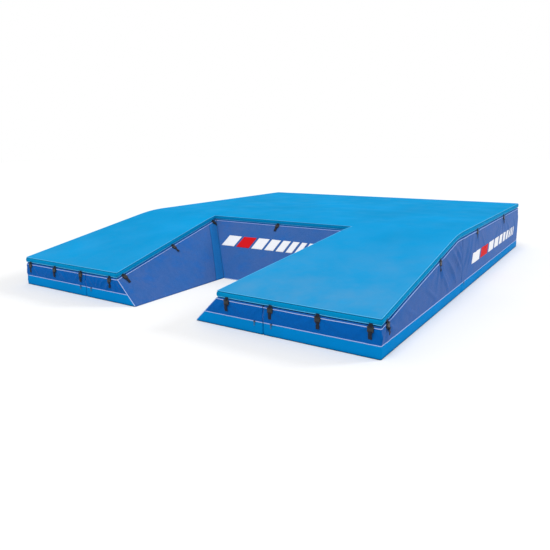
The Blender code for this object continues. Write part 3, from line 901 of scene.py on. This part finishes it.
def wall_row(block, station, share, bottom, tuck=0.0, bare=False):
    """A point on the wall, share of the way from the rounded top edge to the bottom."""
    top, normal, _ = station_frame(block, station, None)
    low, _, _ = station_frame(block, station, bottom)
    start = top + unit(low - top) * BLOCK_ROUND
    p = start + (low - start) * share
    single = block.normal(station[0][-1] or station[0][0])
    swell = 0.001 if block.hides(station) else wall_bulge(p, single, share)
    if bare:
        swell = min(swell, 0.0035 + 0.030 * max(p[2], 0.0))
    return p + normal * (swell - tuck)


def edge_row(block, station, degrees):
    """A point on the rounded edge between top and wall."""
    top, normal, level = station_frame(block, station, None)
    low, _, _ = station_frame(block, station, BAND)
    keep = BLOCK_ROUND * (1 - math.sin(math.radians(degrees)))
    drop = BLOCK_ROUND * (1 - math.cos(math.radians(degrees)))
    return top - level * keep + unit(low - top) * drop + normal * SKIN_LIFT * degrees / 90


def make_block_cover(block):
    """A block's cover, with the columns of points round its banded walls."""
    build = Builder()
    rows = [(top_row, inward) for inward in (0.050, 0.034, 0.022)]
    rows += [(edge_row, degrees) for degrees in (0, 30, 60)]
    wall = [(wall_row, i / WALL_ROWS, BAND + 0.0015) for i in range(WALL_ROWS + 1)]
    wall.append((wall_row, 1.0, BAND + 0.0005, 0.005))
    columns = add_ring(build, block, block.banded(), not block.bare, RING_PITCH, rows + wall)
    if block.bare:
        wall = [(wall_row, i / BARE_ROWS, 0.0015, 0.0, True) for i in range(BARE_ROWS + 1)]
        add_ring(build, block, (block.bare,), False, RING_PITCH, rows + wall)
    add_top_sheet(build, block)
    node = block.name + "_upper_cover"
    build.piece(block.name + "_cover_skin", "wall", "blocks", "wall_mesh", node, 0.85, SKIN_THICK)
    return columns


def add_top_sheet(build, block):
    """The top of a block's cover, under the wear cover."""
    inset, rows = SHEET_INSET, []
    for y in graded(block.front(BLOCK_TOP) + inset, block.y1 - inset, 0.09):
        height, line = block_height(y), []
        a, b = block.left(height) + inset, block.right(height) - inset
        for share in graded(0.0, 1.0, 0.06):
            x = a + (b - a) * share
            dent = 0.0012 * wave_noise((x, y, 0), 0.5, 6.0) - 0.0008
            line.append(build.add((x, y, height + min(dent, 0.0)), (x, y + TOP_UV)))
        rows.append(line)
    build.strip(rows)


def make_tray(block):
    """The vinyl base: a band up the walls, apart from a bare wall, and the sheet under the foam."""
    build = Builder()
    rows = [(band_row, share) for share in (0.0, 0.04, 0.2, 0.4, 0.6, 0.8, 0.93, 0.985, 1.0)]
    rows += [(floor_row, 0.006), (floor_row, 0.040)]
    add_ring(build, block, block.banded(), not block.bare, 0.05, rows)
    inset = {side: 0.004 if side == block.bare else SHEET_INSET for side in SIDES}
    xs = graded(block.left(0) + inset["left"], block.right(0) - inset["right"], 0.25)
    ys = graded(block.front(0) + inset["front"], block.y1 - inset["rear"], 0.25)
    build.strip([[build.add((x, y, TRAY_THICK), (x, y)) for x in xs] for y in ys], flip=True)
    node = block.name + "_base_tray"
    build.piece(block.name + "_tray_skin", "band", "blocks", "band_vinyl", node, thick=TRAY_THICK)


def band_row(block, station, share):
    """A point of the band, share of the way down from its top to the ground."""
    p, normal, _ = station_frame(block, station, max(BAND * (1 - share), TRAY_THICK))
    swell = 0.001
    if not block.hides(station):
        swell = 0.0025 + 0.0035 * math.sin(math.pi * share) ** 0.8
        swell += 0.0014 * wave_noise(p, 0.16, 2.2) * math.sin(math.pi * share)
    return p + vec(normal[0], normal[1], 0) * (swell - 0.0045 * (share > 0.99))


def floor_row(block, station, inward):
    p, _, level = station_frame(block, station, 0.0)
    p = p - level * inward
    return vec(p[0], p[1], TRAY_THICK)


def runs_on(block, sides, columns, row, wanted, lift):
    """The stretches of a row of a ring that lie on the wanted walls."""
    stations = ring_stations(block, sides, RING_PITCH, not block.bare)
    order = list(range(len(stations)))
    if not block.bare:
        # Starts on another wall, so that a stretch round a corner isn't cut in two.
        first = next(i for i in order if not any(n in wanted for n in stations[i][0]))
        order = order[first:] + order[:first]
    runs, current = [], []
    for i in order:
        if any(n in wanted for n in stations[i][0]):
            _, normal, _ = station_frame(block, stations[i], BAND)
            sway = 0.003 * wave_noise(columns[i][row], 0.22, 6.1) if row == TOP_CORD_ROW else 0.0
            current.append(columns[i][row] + normal * lift + vec(0, 0, sway))
        elif current:
            runs.append(current)
            current = []
    return runs + ([current] if current else [])


def make_piping(block, columns):
    """Pale cords: under the wear cover, between wall and band, and along the edges of a bare wall."""
    banded = block.banded()
    wanted = [side for side in banded if side not in block.hidden]
    paths = []
    for row, lift in ((TOP_CORD_ROW, 0.0010), (len(columns[0]) - 2, 0.0008)):
        paths += [(run, False) for run in runs_on(block, banded, columns, row, wanted, lift)]
    if block.bare:
        count = max(2, round(block.length(block.bare) / 0.04))
        line = []
        for i in range(count + 1):
            top, normal = block.point(block.bare, i / count), block.normal(block.bare)
            low = block.point(block.bare, i / count, 0.0)
            line.append(top + unit(low - top) * BLOCK_ROUND + normal * (SKIN_LIFT + 0.0015))
        paths.append((line, False))
    if block.bare == "front":
        a, b = block.point("front", 0.0, GROUND_CORD), block.point("front", 1.0, GROUND_CORD)
        paths.append(([a + (b - a) * t for t in graded(0.0, 1.0, 0.02)], False))
    elif block.bare:
        paths.append((leaning_edge(block), False))
    make_tubes(block.name + "_piping", paths, PIPING_RADIUS, "piping", "blocks", "band_vinyl")


def leaning_edge(block):
    """The front edge of the cut-out's side wall, from its top to the ground."""
    side, t = (block.bare, 1.0) if block.bare == "left" else (block.bare, 0.0)
    top, low = block.point(side, t), block.point(side, t, GROUND_CORD)
    lift = (block.normal(side) + vec(0, -1, 0)) * 0.003
    count = 20
    return [top + (low - top) * (0.02 + 0.98 * i / count) + lift * (i < count) for i in range(count + 1)]


def make_binding(block):
    """The tape that a block's straps are sewn to, along each open wall below the wear cover's edge."""
    build = Builder()
    for side in (side for side in SIDES if side not in block.hidden):
        bottom = 0.0 if side == block.bare else BAND
        normal, path = block.normal(side), []
        corner = 1.5 * CORNER_ROUND / block.length(side)
        for t in graded(corner, 1 - corner, 0.03 / block.length(side)):
            top, low = block.point(side, t), block.point(side, t, bottom)
            length = float(np.linalg.norm(low - top))
            down = (low - top) / length
            way = (COVER_THICK - COVER_DROP) / abs(down[2]) + BINDING_MIDDLE
            share = (way - BLOCK_ROUND) / (length - BLOCK_ROUND)
            p = top + down * way
            path.append(p + normal * (wall_bulge(p, normal, share) + 0.0012))
        add_ribbon(build, path, down, BINDING_WIDE, WEBBING_THICK)
    build.piece(block.name + "_binding_tape", "binding", "blocks", "webbing")


# The printed bars on the walls: plain slanted bars in white, with one in red.

BAR_WIDTHS = (0.25, 0.25, 0.205, 0.165, 0.135, 0.11, 0.09, 0.07, 0.055, 0.04)
BAR_GAP = 0.045
BAR_SLANT = 0.40
RED_BAR = 1
PRINT_PITCH = 0.012
PRINTS = {
    "rear_right": ("right", -0.12, 1.62, 0.285, 0.425, 1),
    "rear_left": ("left", 2.83, 1.62, 0.285, 0.425, -1),
    "centre": ("front", -0.80, 0.92, 0.385, 0.520, 1),
}


def make_print(name, block, side, start, scale, low, high, direction):
    """Bars along a wall from the position `start`, in X on a front wall or in Y on a side wall."""
    white, red = Builder(), Builder()
    position = start
    normal = block.normal(side)
    for number, width in enumerate(BAR_WIDTHS):
        build = red if number == RED_BAR else white
        rows = []
        for z in graded(low, high, PRINT_PITCH):
            shift = (z - low) * BAR_SLANT
            line = []
            for a in graded(0.0, width * scale, PRINT_PITCH):
                place = position + direction * (a + shift)
                p = wall_point(block, side, place, z)
                top = block_height(p[1]) - BLOCK_ROUND
                share = float((top - z) / (top - BAND))
                p = p + normal * (wall_bulge(p, normal, share) + INK_LIFT)
                line.append(build.add(p, (place, z)))
            rows.append(line)
        build.strip(rows, flip=direction < 0)
        position += direction * (width + BAR_GAP) * scale
    for tone, build in (("white_ink", white), ("red_ink", red)):
        build.piece(name + "_" + tone, tone, "blocks", "wall_mesh", thick=INK_THICK, side=0.0)


def wall_point(block, side, place, z):
    if side == "front":
        return block.point(side, (place - block.left(z)) / (block.right(z) - block.left(z)), z)
    share = (place - block.front(z)) / (block.y1 - block.front(z))
    return block.point(side, share if side == "right" else 1 - share, z)


# Buckles. Each hangs at a point of the wear cover's lower edge.


def make_buckle_list():
    """Every buckle: its point on the edge, its wall's normal, the way down, its groups and folds."""
    made = []

    def add(point, normal, cover, block, fold, down=(0, 0, -1), depth=SETBACK, tilt=0.0):
        number = len(made)
        normal, down = unit(vec(*normal)), unit(vec(*down))
        buckle = {"point": vec(*point), "normal": normal, "down": down, "depth": depth, "fold": fold}
        buckle.update(cover=cover, block=block, across=unit(np.cross(down, normal)))
        buckle.update(fan=7 + number % 3, phase=1.7 * number, tilt=tilt or 0.10 * math.sin(2.3 * number))
        made.append(buckle)

    leaning_depth = (SETBACK + COVER_DROP - COVER_THICK) / math.sqrt(2)
    for side, s in (("right", 1), ("left", -1)):
        for places, block in ((FRONT_INNER_BUCKLES, "front_inner_"), (FRONT_OUTER_BUCKLES, "front_outer_")):
            for x in places:
                add((s * x, Y_FRONT, lower_edge(Y_FRONT)), (0, -1, 0), "front_" + side, block + side, 0.012)
        for places, block in ((SIDE_FRONT_BUCKLES, "front_outer_"), (SIDE_REAR_BUCKLES, "rear_")):
            for place in places:
                point = (s * HALF_WIDTH, Y_FRONT + place, lower_edge(Y_FRONT + place))
                tilt = -1.1 * s if place == CORNER_BUCKLE else 0.0
                add(point, (s, 0, 0), "side_" + side, block + side, 0.026, tilt=tilt)
        for x in REAR_BUCKLES:
            add((s * x, Y_REAR, lower_edge(Y_REAR)), (0, 1, 0), "rear", "rear_" + side, 0.014)
        for place in CUTOUT_BUCKLES:
            y, group = Y_FRONT + place, "cutout_" + side
            normal = unit(vec(-s, 0, 1))
            down = np.cross(normal, unit(vec(s * SLOPE, 1, SLOPE)))
            point = (s * cover_inner_x(y), y, HEIGHT + SLOPE * (y - Y_RIDGE) - COVER_THICK)
            add(point, normal, group, group, 0.010, down if down[2] < 0 else -down, leaning_depth)
    point, down = (0, Y_RIDGE, HEIGHT - COVER_THICK), (0, -1, -1)
    add(point, (0, -1, 1), "cutout_back", "centre", 0.008, down, leaning_depth)
    return made


BUCKLES = make_buckle_list()


# Folds as (start, end, width, height). On a side wall: a place behind the mat's front, and a height.
SIDE_FOLDS = (
    ((1.66, 0.50), (2.06, 0.15), 0.030, 0.022),
    ((1.78, 0.54), (2.24, 0.16), 0.024, -0.014),
    ((1.90, 0.58), (2.38, 0.18), 0.028, 0.026),
    ((2.02, 0.61), (2.46, 0.24), 0.022, -0.012),
    ((2.12, 0.64), (2.54, 0.30), 0.028, 0.024),
    ((2.26, 0.68), (2.58, 0.40), 0.024, 0.022),
    ((2.34, 0.69), (2.34, 0.36), 0.022, -0.010),
    ((2.44, 0.69), (2.59, 0.54), 0.022, 0.016),
    ((1.20, 0.36), (1.62, 0.15), 0.026, 0.012),
    ((0.60, 0.30), (0.96, 0.15), 0.024, 0.008),
    ((2.98, 0.68), (2.68, 0.30), 0.030, 0.020),
    ((3.12, 0.67), (2.86, 0.24), 0.028, 0.013),
    ((3.54, 0.67), (3.86, 0.40), 0.028, 0.014),
    ((4.86, 0.67), (4.52, 0.42), 0.030, 0.013),
    ((5.26, 0.67), (5.66, 0.36), 0.030, 0.013),
    ((5.90, 0.66), (6.20, 0.30), 0.026, 0.010),
)
# On a front wall: short puckers by the block seam and the cut-out's edge, from the mat's middle.
FRONT_FOLDS = (
    ((1.30, 0.29), (1.20, 0.15), 0.014, 0.012),
    ((1.22, 0.29), (1.17, 0.20), 0.010, 0.010),
    ((1.10, 0.28), (1.15, 0.14), 0.014, 0.012),
    ((1.00, 0.27), (1.10, 0.14), 0.012, 0.009),
    ((0.88, 0.25), (0.98, 0.14), 0.014, 0.012),
    ((0.82, 0.27), (0.80, 0.16), 0.010, 0.010),
    ((0.76, 0.29), (0.70, 0.15), 0.014, 0.012),
    ((0.72, 0.22), (0.64, 0.15), 0.009, 0.008),
    ((1.56, 0.27), (1.44, 0.15), 0.016, 0.010),
    ((1.38, 0.25), (1.30, 0.14), 0.012, 0.009),
    ((1.86, 0.28), (1.72, 0.15), 0.016, 0.010),
    ((2.08, 0.27), (2.20, 0.15), 0.016, 0.009),
    ((2.42, 0.27), (2.32, 0.15), 0.014, 0.009),
)
SLACK_FOLDS = []
for s, slack in ((1, 0.35), (-1, 1.0)):  # the front wall is slacker on the left arm
    for *ends, width, height in SIDE_FOLDS:
        start, end = (vec(s * WALL_X, Y_FRONT + along, z) for along, z in ends)
        SLACK_FOLDS.append((start, end, width, height, LEVEL["right"] * s))
    for *ends, width, height in FRONT_FOLDS:
        start, end = (vec(s * x, Y_FRONT + SETBACK, z) for x, z in ends)
        SLACK_FOLDS.append((start, end, width, height * slack, LEVEL["front"]))


def prism(outline, low, high, bevel=0.0007):
    """A mesh from a flat outline, from depth low to high, with its edges eased."""
    bm = bmesh.new()
    corners = [bm.verts.new((x, y, low)) for x, y in outline]
    face = bm.faces.new(corners)
    pushed = bmesh.ops.extrude_face_region(bm, geom=[face])["geom"]
    moved = [item for item in pushed if isinstance(item, bmesh.types.BMVert)]
    bmesh.ops.translate(bm, verts=moved, vec=(0, 0, high - low))
    bmesh.ops.recalc_face_normals(bm, faces=bm.faces)
    bmesh.ops.bevel(bm, geom=bm.edges[:], offset=bevel, segments=2, affect="EDGES", profile=0.5)
    bm.verts.index_update()
    points = [tuple(v.co) for v in bm.verts]
    faces = [tuple(v.index for v in f.verts) for f in bm.faces]
    bm.free()
    return points, faces


def flipped(outline):
    return [(-x, y) for x, y in reversed(outline)]


def mirrored(right, *depths):
    return prism(right + flipped(right), *depths)


# Buckle and zip parts, as half or whole outlines, then depths and bevel: x across, y down, z out.
PRONG = [(0.0207, 0.0205), (0.0255, 0.0205), (0.0270, 0.0325), (0.0318, 0.0352), (0.0311, 0.0405)]
PRONG += [(0.0255, 0.0445), (0.0213, 0.0375)]
PLATE = [(0.0178, 0.0225), (0.0290, 0.0230), (0.0320, 0.0260), (0.0314, 0.0310), (0.0255, 0.0345)]
PLATE += [(0.0255, 0.0420), (0.0308, 0.0465), (0.0296, 0.0575), (0.0267, 0.0635)]
LOOP = [(0.0016, 0.0120), (0.0050, 0.0150), (0.0058, 0.0360), (0.0040, 0.0410), (0.0, 0.0420), (0.0, 0.0385)]
LOOP += [(0.0030, 0.0360), (0.0026, 0.0180), (0.0, 0.0155), (0.0, 0.0120)]
SLIDER = [(0.0075, -0.0070), (0.0140, -0.0040), (0.0150, 0.0), (0.0140, 0.0040), (0.0075, 0.0070)]

# Two plates with side windows, and the block with the strap slot.
FEMALE = [
    mirrored(PLATE, 0.0000, 0.0030),
    mirrored(PLATE, 0.0084, 0.0114, 0.0010),
    mirrored([(0.0279, 0.0500), (0.0270, 0.0560), (0.0243, 0.0615)], 0.0034, 0.0080, 0.0005),
    mirrored([(0.0124, 0.0290), (0.0142, 0.0310), (0.0142, 0.040), (0.0124, 0.042)], 0.0112, 0.0119, 0.0003),
]
# The bar that the strap goes through, two sprung prongs, the middle tongue and a rib.
MALE = [
    mirrored([(0.0255, 0.0060), (0.0311, 0.0088), (0.0320, 0.0180), (0.0290, 0.0218)], 0.0, 0.0108, 0.0012),
    prism(PRONG, 0.0037, 0.0078, 0.0005),
    prism(flipped(PRONG), 0.0037, 0.0078, 0.0005),
    mirrored([(0.0059, 0.0205), (0.0059, 0.0400), (0.0036, 0.0435)], 0.0039, 0.0076, 0.0005),
    mirrored([(0.0207, 0.0100), (0.0225, 0.0120), (0.0225, 0.016), (0.0201, 0.018)], 0.0106, 0.0116, 0.0003),
]
# A slider's body with its flared nose, the bridge, and the pull with its hole: x along the zip.
ZIP = [
    mirrored(SLIDER, 0.0004, 0.0038, 0.0008),
    mirrored([(0.0068, -0.0026), (0.0068, 0.0026)], 0.0036, 0.0080, 0.0008),
    mirrored([(0.0020, 0.0000), (0.0022, 0.0130)], 0.0056, 0.0074, 0.0004),
    prism(LOOP, 0.0056, 0.0074, 0.0004),
    prism(flipped(LOOP), 0.0056, 0.0074, 0.0004),
]


def add_parts(build, parts, origin, across, down, out):
    turned = np.cross(across, down) @ out < 0
    for points, faces in parts:
        first = len(build.points)
        for x, y, z in points:
            build.add(origin + across * x + down * y + out * z, (x, y))
        for face in faces:
            face = tuple(first + i for i in face)
            build.faces.append(face[::-1] if turned else face)


def surface_lift(buckle, distance):
    """How far the block's fabric stands out from its wall at a way down from the edge."""
    p = buckle["point"] + buckle["down"] * distance - buckle["normal"] * buckle["depth"]
    top = block_height(p[1])
    share = (top - p[2]) / max(top - BAND, 0.05)
    return wall_bulge(p, buckle["normal"], share)


def strap_paths(buckle):
    """The sewn strap behind the buckle and the free tail below it, as points off the wall."""
    across, down, out = buckle["across"], buckle["down"], buckle["normal"]
    base = buckle["point"] - out * buckle["depth"]

    def at(distance, off, sideways=0.0):
        return base + down * distance + out * (surface_lift(buckle, distance) + off) + across * sideways

    sewn = [at(0.013, 0.0010), at(0.034, 0.0010), at(0.052, 0.0012), at(0.063, 0.0034), at(0.0655, 0.0070)]
    sewn += [at(0.0625, 0.0104), at(0.0560, 0.0126)]
    lean = buckle["tilt"]
    tail = [at(0.0575, 0.0148), at(0.0650, 0.0142), at(0.0735, 0.0100, lean * 0.010)]
    for step in range(1, 7):
        share = step / 6
        curl = 0.0052 + 0.005 * math.sin(3.2 * share + lean * 9)
        tail.append(at(0.074 + 0.056 * share, curl, lean * (0.010 + 0.035 * share)))
    return sewn, tail


def sewn_and_tail(straps, buckle, origin):
    for path in strap_paths(buckle):
        add_ribbon(straps, path, buckle["across"], WEBBING_WIDE, WEBBING_THICK)


def hanging_strap(straps, buckle, origin):
    """The strap from the wear cover's hem to the buckle's bar, and its turn over the bar."""
    down, out = buckle["down"], buckle["normal"]
    level = unit(vec(out[0], out[1], 0))
    hem = buckle["point"] + level * 0.0035 + vec(0, 0, 0.016)
    edge = buckle["point"] + level * 0.0045 - vec(0, 0, 0.001)
    slot_in = origin + out * 0.0045 + down * 0.0085
    path = [hem, hem + (edge - hem) * 0.5, edge, edge + (slot_in - edge) * 0.5, slot_in]
    add_ribbon(straps, path, buckle["across"], WEBBING_WIDE, WEBBING_THICK)
    front = origin + out * 0.0124 + down * 0.0150
    turn = [front - down * 0.0075, front - down * 0.004, front + down * 0.001]
    add_ribbon(straps, turn, buckle["across"], WEBBING_WIDE * 0.9, WEBBING_THICK)


def make_straps(owner, group, body, slot, parts, half, add_straps):
    """One group's webbing and its halves of the buckles. owner: "block" or "cover"."""
    node = owner + "_straps_" + group
    straps, plastic = Builder(), Builder()
    for buckle in (b for b in BUCKLES if b[owner] == group):
        across, down, out = buckle["across"], buckle["down"], buckle["normal"]
        lift = surface_lift(buckle, 0.030) + BUCKLE_LIFT
        origin = buckle["point"] - out * (buckle["depth"] - lift)
        add_straps(straps, buckle, origin)
        add_parts(plastic, parts, origin, across, down, out)
    straps.piece(node + "_webbing", "strap", body, slot, node)
    plastic.piece(node + half, "plastic", body, "buckle_webbing", smooth=False)


def make_block_straps(group):
    make_straps("block", group, "blocks", "webbing", FEMALE, "_female_halves", sewn_and_tail)


def make_cover_straps(group):
    make_straps("cover", group, "wear_cover", "buckle_webbing", MALE, "_male_halves", hanging_strap)


# Joining straps and zip sliders.


def nodes_with(text):
    return sorted(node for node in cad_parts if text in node)


def make_joining_straps():
    for node in nodes_with("joining_strap"):
        low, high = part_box(node)
        centre = (low + high) / 2
        along_x = high.x - low.x > high.y - low.y
        half = (high.x - low.x if along_x else high.y - low.y) / 2
        path = []
        for t in graded(-1.0, 1.0, 0.1):
            x = centre.x + (half * t if along_x else 0.0)
            y = centre.y + (0.0 if along_x else half * t)
            path.append(vec(x, y, block_height(y) + 0.0016 + 0.0004 * math.cos(9 * t)))
        across = vec(0, 1, SLOPE if centre.y < Y_RIDGE else 0.0) if along_x else vec(1, 0, 0)
        build = Builder()
        add_ribbon(build, path, across, JOINING_WIDE, JOINING_THICK)
        build.piece(node + "_webbing", "joining", "blocks", "webbing", node)


def make_zip_sliders():
    for node in nodes_with("zip_slider"):
        low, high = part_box(node)
        centre = (low + high) / 2
        if "rear" in node:
            out = LEVEL["right" if centre.x > 0 else "left"]
            across = vec(0, out[0], 0)
            origin = vec(out[0] * WALL_X, centre.y, BAND)
        else:
            out, across = LEVEL["front"], vec(1, 0, 0)
            origin = vec(centre.x, Y_FRONT + SETBACK, BAND)
        build = Builder()
        add_parts(build, ZIP, origin + out * SLIDER_LIFT, across, vec(0, 0, -1), out)
        build.piece(node + "_metal", "metal", node, "zip_metal", node, smooth=False)


# Foam.


def eased_foam(node, body, inset, shape, picked, offset):
    """A copy of a CAD foam, a little smaller all round, with its `picked` edges eased.

    The inset keeps it clear of the folds in the fabric over it; `shape` then moves each point.
    """
    bm = bmesh.new()
    bm.from_mesh(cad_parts[node].data)
    bmesh.ops.remove_doubles(bm, verts=bm.verts, dist=0.0001)
    bmesh.ops.dissolve_limit(bm, angle_limit=math.radians(2), verts=bm.verts, edges=bm.edges)
    bmesh.ops.recalc_face_normals(bm, faces=bm.faces)
    bm.normal_update()
    moved = [v.co - v.normal * (v.calc_shell_factor() * inset) for v in bm.verts]
    for vert, point in zip(bm.verts, moved):
        vert.co = shape(point)
    sharp = [e for e in bm.edges if e.is_manifold and e.calc_face_angle(0.0) > math.radians(20)]
    edges = [e for e in sharp if picked(e)]
    bmesh.ops.bevel(bm, geom=edges, offset=offset, segments=3, affect="EDGES", profile=0.5)
    mesh = bpy.data.meshes.new(node + "_pad")
    bm.to_mesh(mesh)
    bm.free()
    declare(link_mesh(node + "_pad", mesh, MATERIALS["foam"]), body, node)


def under_the_top(point):
    """A point of the wear cover's foam, with its top following the cover's rounded ridge."""
    above = point.z > lower_edge(point.y) + COVER_THICK / 2
    return Vector((point.x, point.y, top_height(point.y) - COVER_FOAM_DROP if above else point.z))


def outer_corner(edge):
    """Whether an edge of a block's foam is at its top or a corner between walls, not at a channel."""
    a, b = (v.co for v in edge.verts)
    at_top = all(abs(p.z - block_height(p.y)) < 0.03 for p in (a, b))
    return at_top or ((b - a).length > 0.2 and abs(b.z - a.z) > 0.2)


def make_foam():
    for node in nodes_with("wear_cover_foam"):
        eased_foam(node, "wear_cover", COVER_FOAM_INSET, under_the_top, lambda edge: True, COVER_FOAM_ROUND)
    for node in nodes_with("foam_core"):
        eased_foam(node, "blocks", CORE_INSET, lambda point: point, outer_corner, CORE_ROUND)


# The stage.


def look_at_photo_angle():
    """A camera low and to the right of the runway, turned to the mat's middle."""
    yaw, pitch, roll = (math.radians(a) for a in (-33.26, 8.23, -0.47))
    forward = Vector((math.sin(yaw) * math.cos(pitch), math.cos(yaw) * math.cos(pitch), -math.sin(pitch)))
    right = Vector((math.cos(yaw), -math.sin(yaw), 0))
    up = right.cross(forward)
    side = right * math.cos(roll) + up * math.sin(roll)
    crown = up * math.cos(roll) - right * math.sin(roll)
    data = bpy.data.cameras.new("camera")
    data.sensor_width = 36.0
    data.lens = 36.0
    data.shift_y = -0.0909
    data.clip_end = 200.0
    camera = bpy.data.objects.new("camera", data)
    camera.matrix_world = Matrix((side, crown, -forward)).transposed().to_4x4()
    camera.location = (4.35, Y_FRONT - 4.34, 1.87)
    bpy.context.scene.collection.objects.link(camera)
    bpy.context.scene.camera = camera


def broad_light(name, towards, spread, power):
    """A large soft source far away, which lights the floor evenly."""
    data = bpy.data.lights.new(name, "SUN")
    data.angle = math.radians(spread)
    data.energy = power
    light = bpy.data.objects.new(name, data)
    light.rotation_euler = Vector(towards).to_track_quat("-Z", "Y").to_euler()
    bpy.context.scene.collection.objects.link(light)


def make_stage():
    s = Shader("floor_look", roughness=0.9)
    s.colour(s.mix(s.noise(0.6, 2.0), (0.86, 0.86, 0.86), (0.90, 0.90, 0.90)))
    s.bump(s.noise(40.0, 2.0), 0.0005, 0.2)
    bm = bmesh.new()
    bmesh.ops.create_grid(bm, x_segments=2, y_segments=2, size=60)
    mesh = bpy.data.meshes.new("floor")
    bm.to_mesh(mesh)
    bm.free()
    floor = link_mesh("floor", mesh, s.material)
    floor.location.z = -0.0005

    world = bpy.data.worlds.new("studio")
    bpy.context.scene.world = world
    world.use_nodes = True
    tree = world.node_tree
    background = tree.nodes["Background"]
    path = tree.nodes.new("ShaderNodeLightPath")
    brightness = tree.nodes.new("ShaderNodeMapRange")
    brightness.inputs["To Min"].default_value = 0.60
    brightness.inputs["To Max"].default_value = 1.0
    tree.links.new(path.outputs["Is Camera Ray"], brightness.inputs["Value"])
    tree.links.new(brightness.outputs["Result"], background.inputs["Strength"])
    background.inputs["Color"].default_value = (1.0, 1.0, 1.0, 1.0)
    broad_light("key", (-0.06, 0.46, -1.0), 40, 1.62)
    broad_light("side", (-0.72, -0.72, -0.50), 14, 1.05)
    bpy.context.scene.view_settings.view_transform = "Standard"


def main():
    look_at_photo_angle()
    make_stage()
    make_wear_cover()
    make_cover_underside()
    make_foam()
    for block in blocks():
        columns = make_block_cover(block)
        make_tray(block)
        make_piping(block, columns)
        make_binding(block)
        if block.name in PRINTS:
            make_print(block.name + "_print", block, *PRINTS[block.name])
    for side in ("right", "left"):
        for group in ("front_outer_", "front_inner_", "rear_", "cutout_"):
            make_block_straps(group + side)
        for group in ("front_", "side_", "cutout_"):
            make_cover_straps(group + side)
    make_block_straps("centre")
    make_cover_straps("cutout_back")
    make_cover_straps("rear")
    make_joining_straps()
    make_zip_sliders()


main()
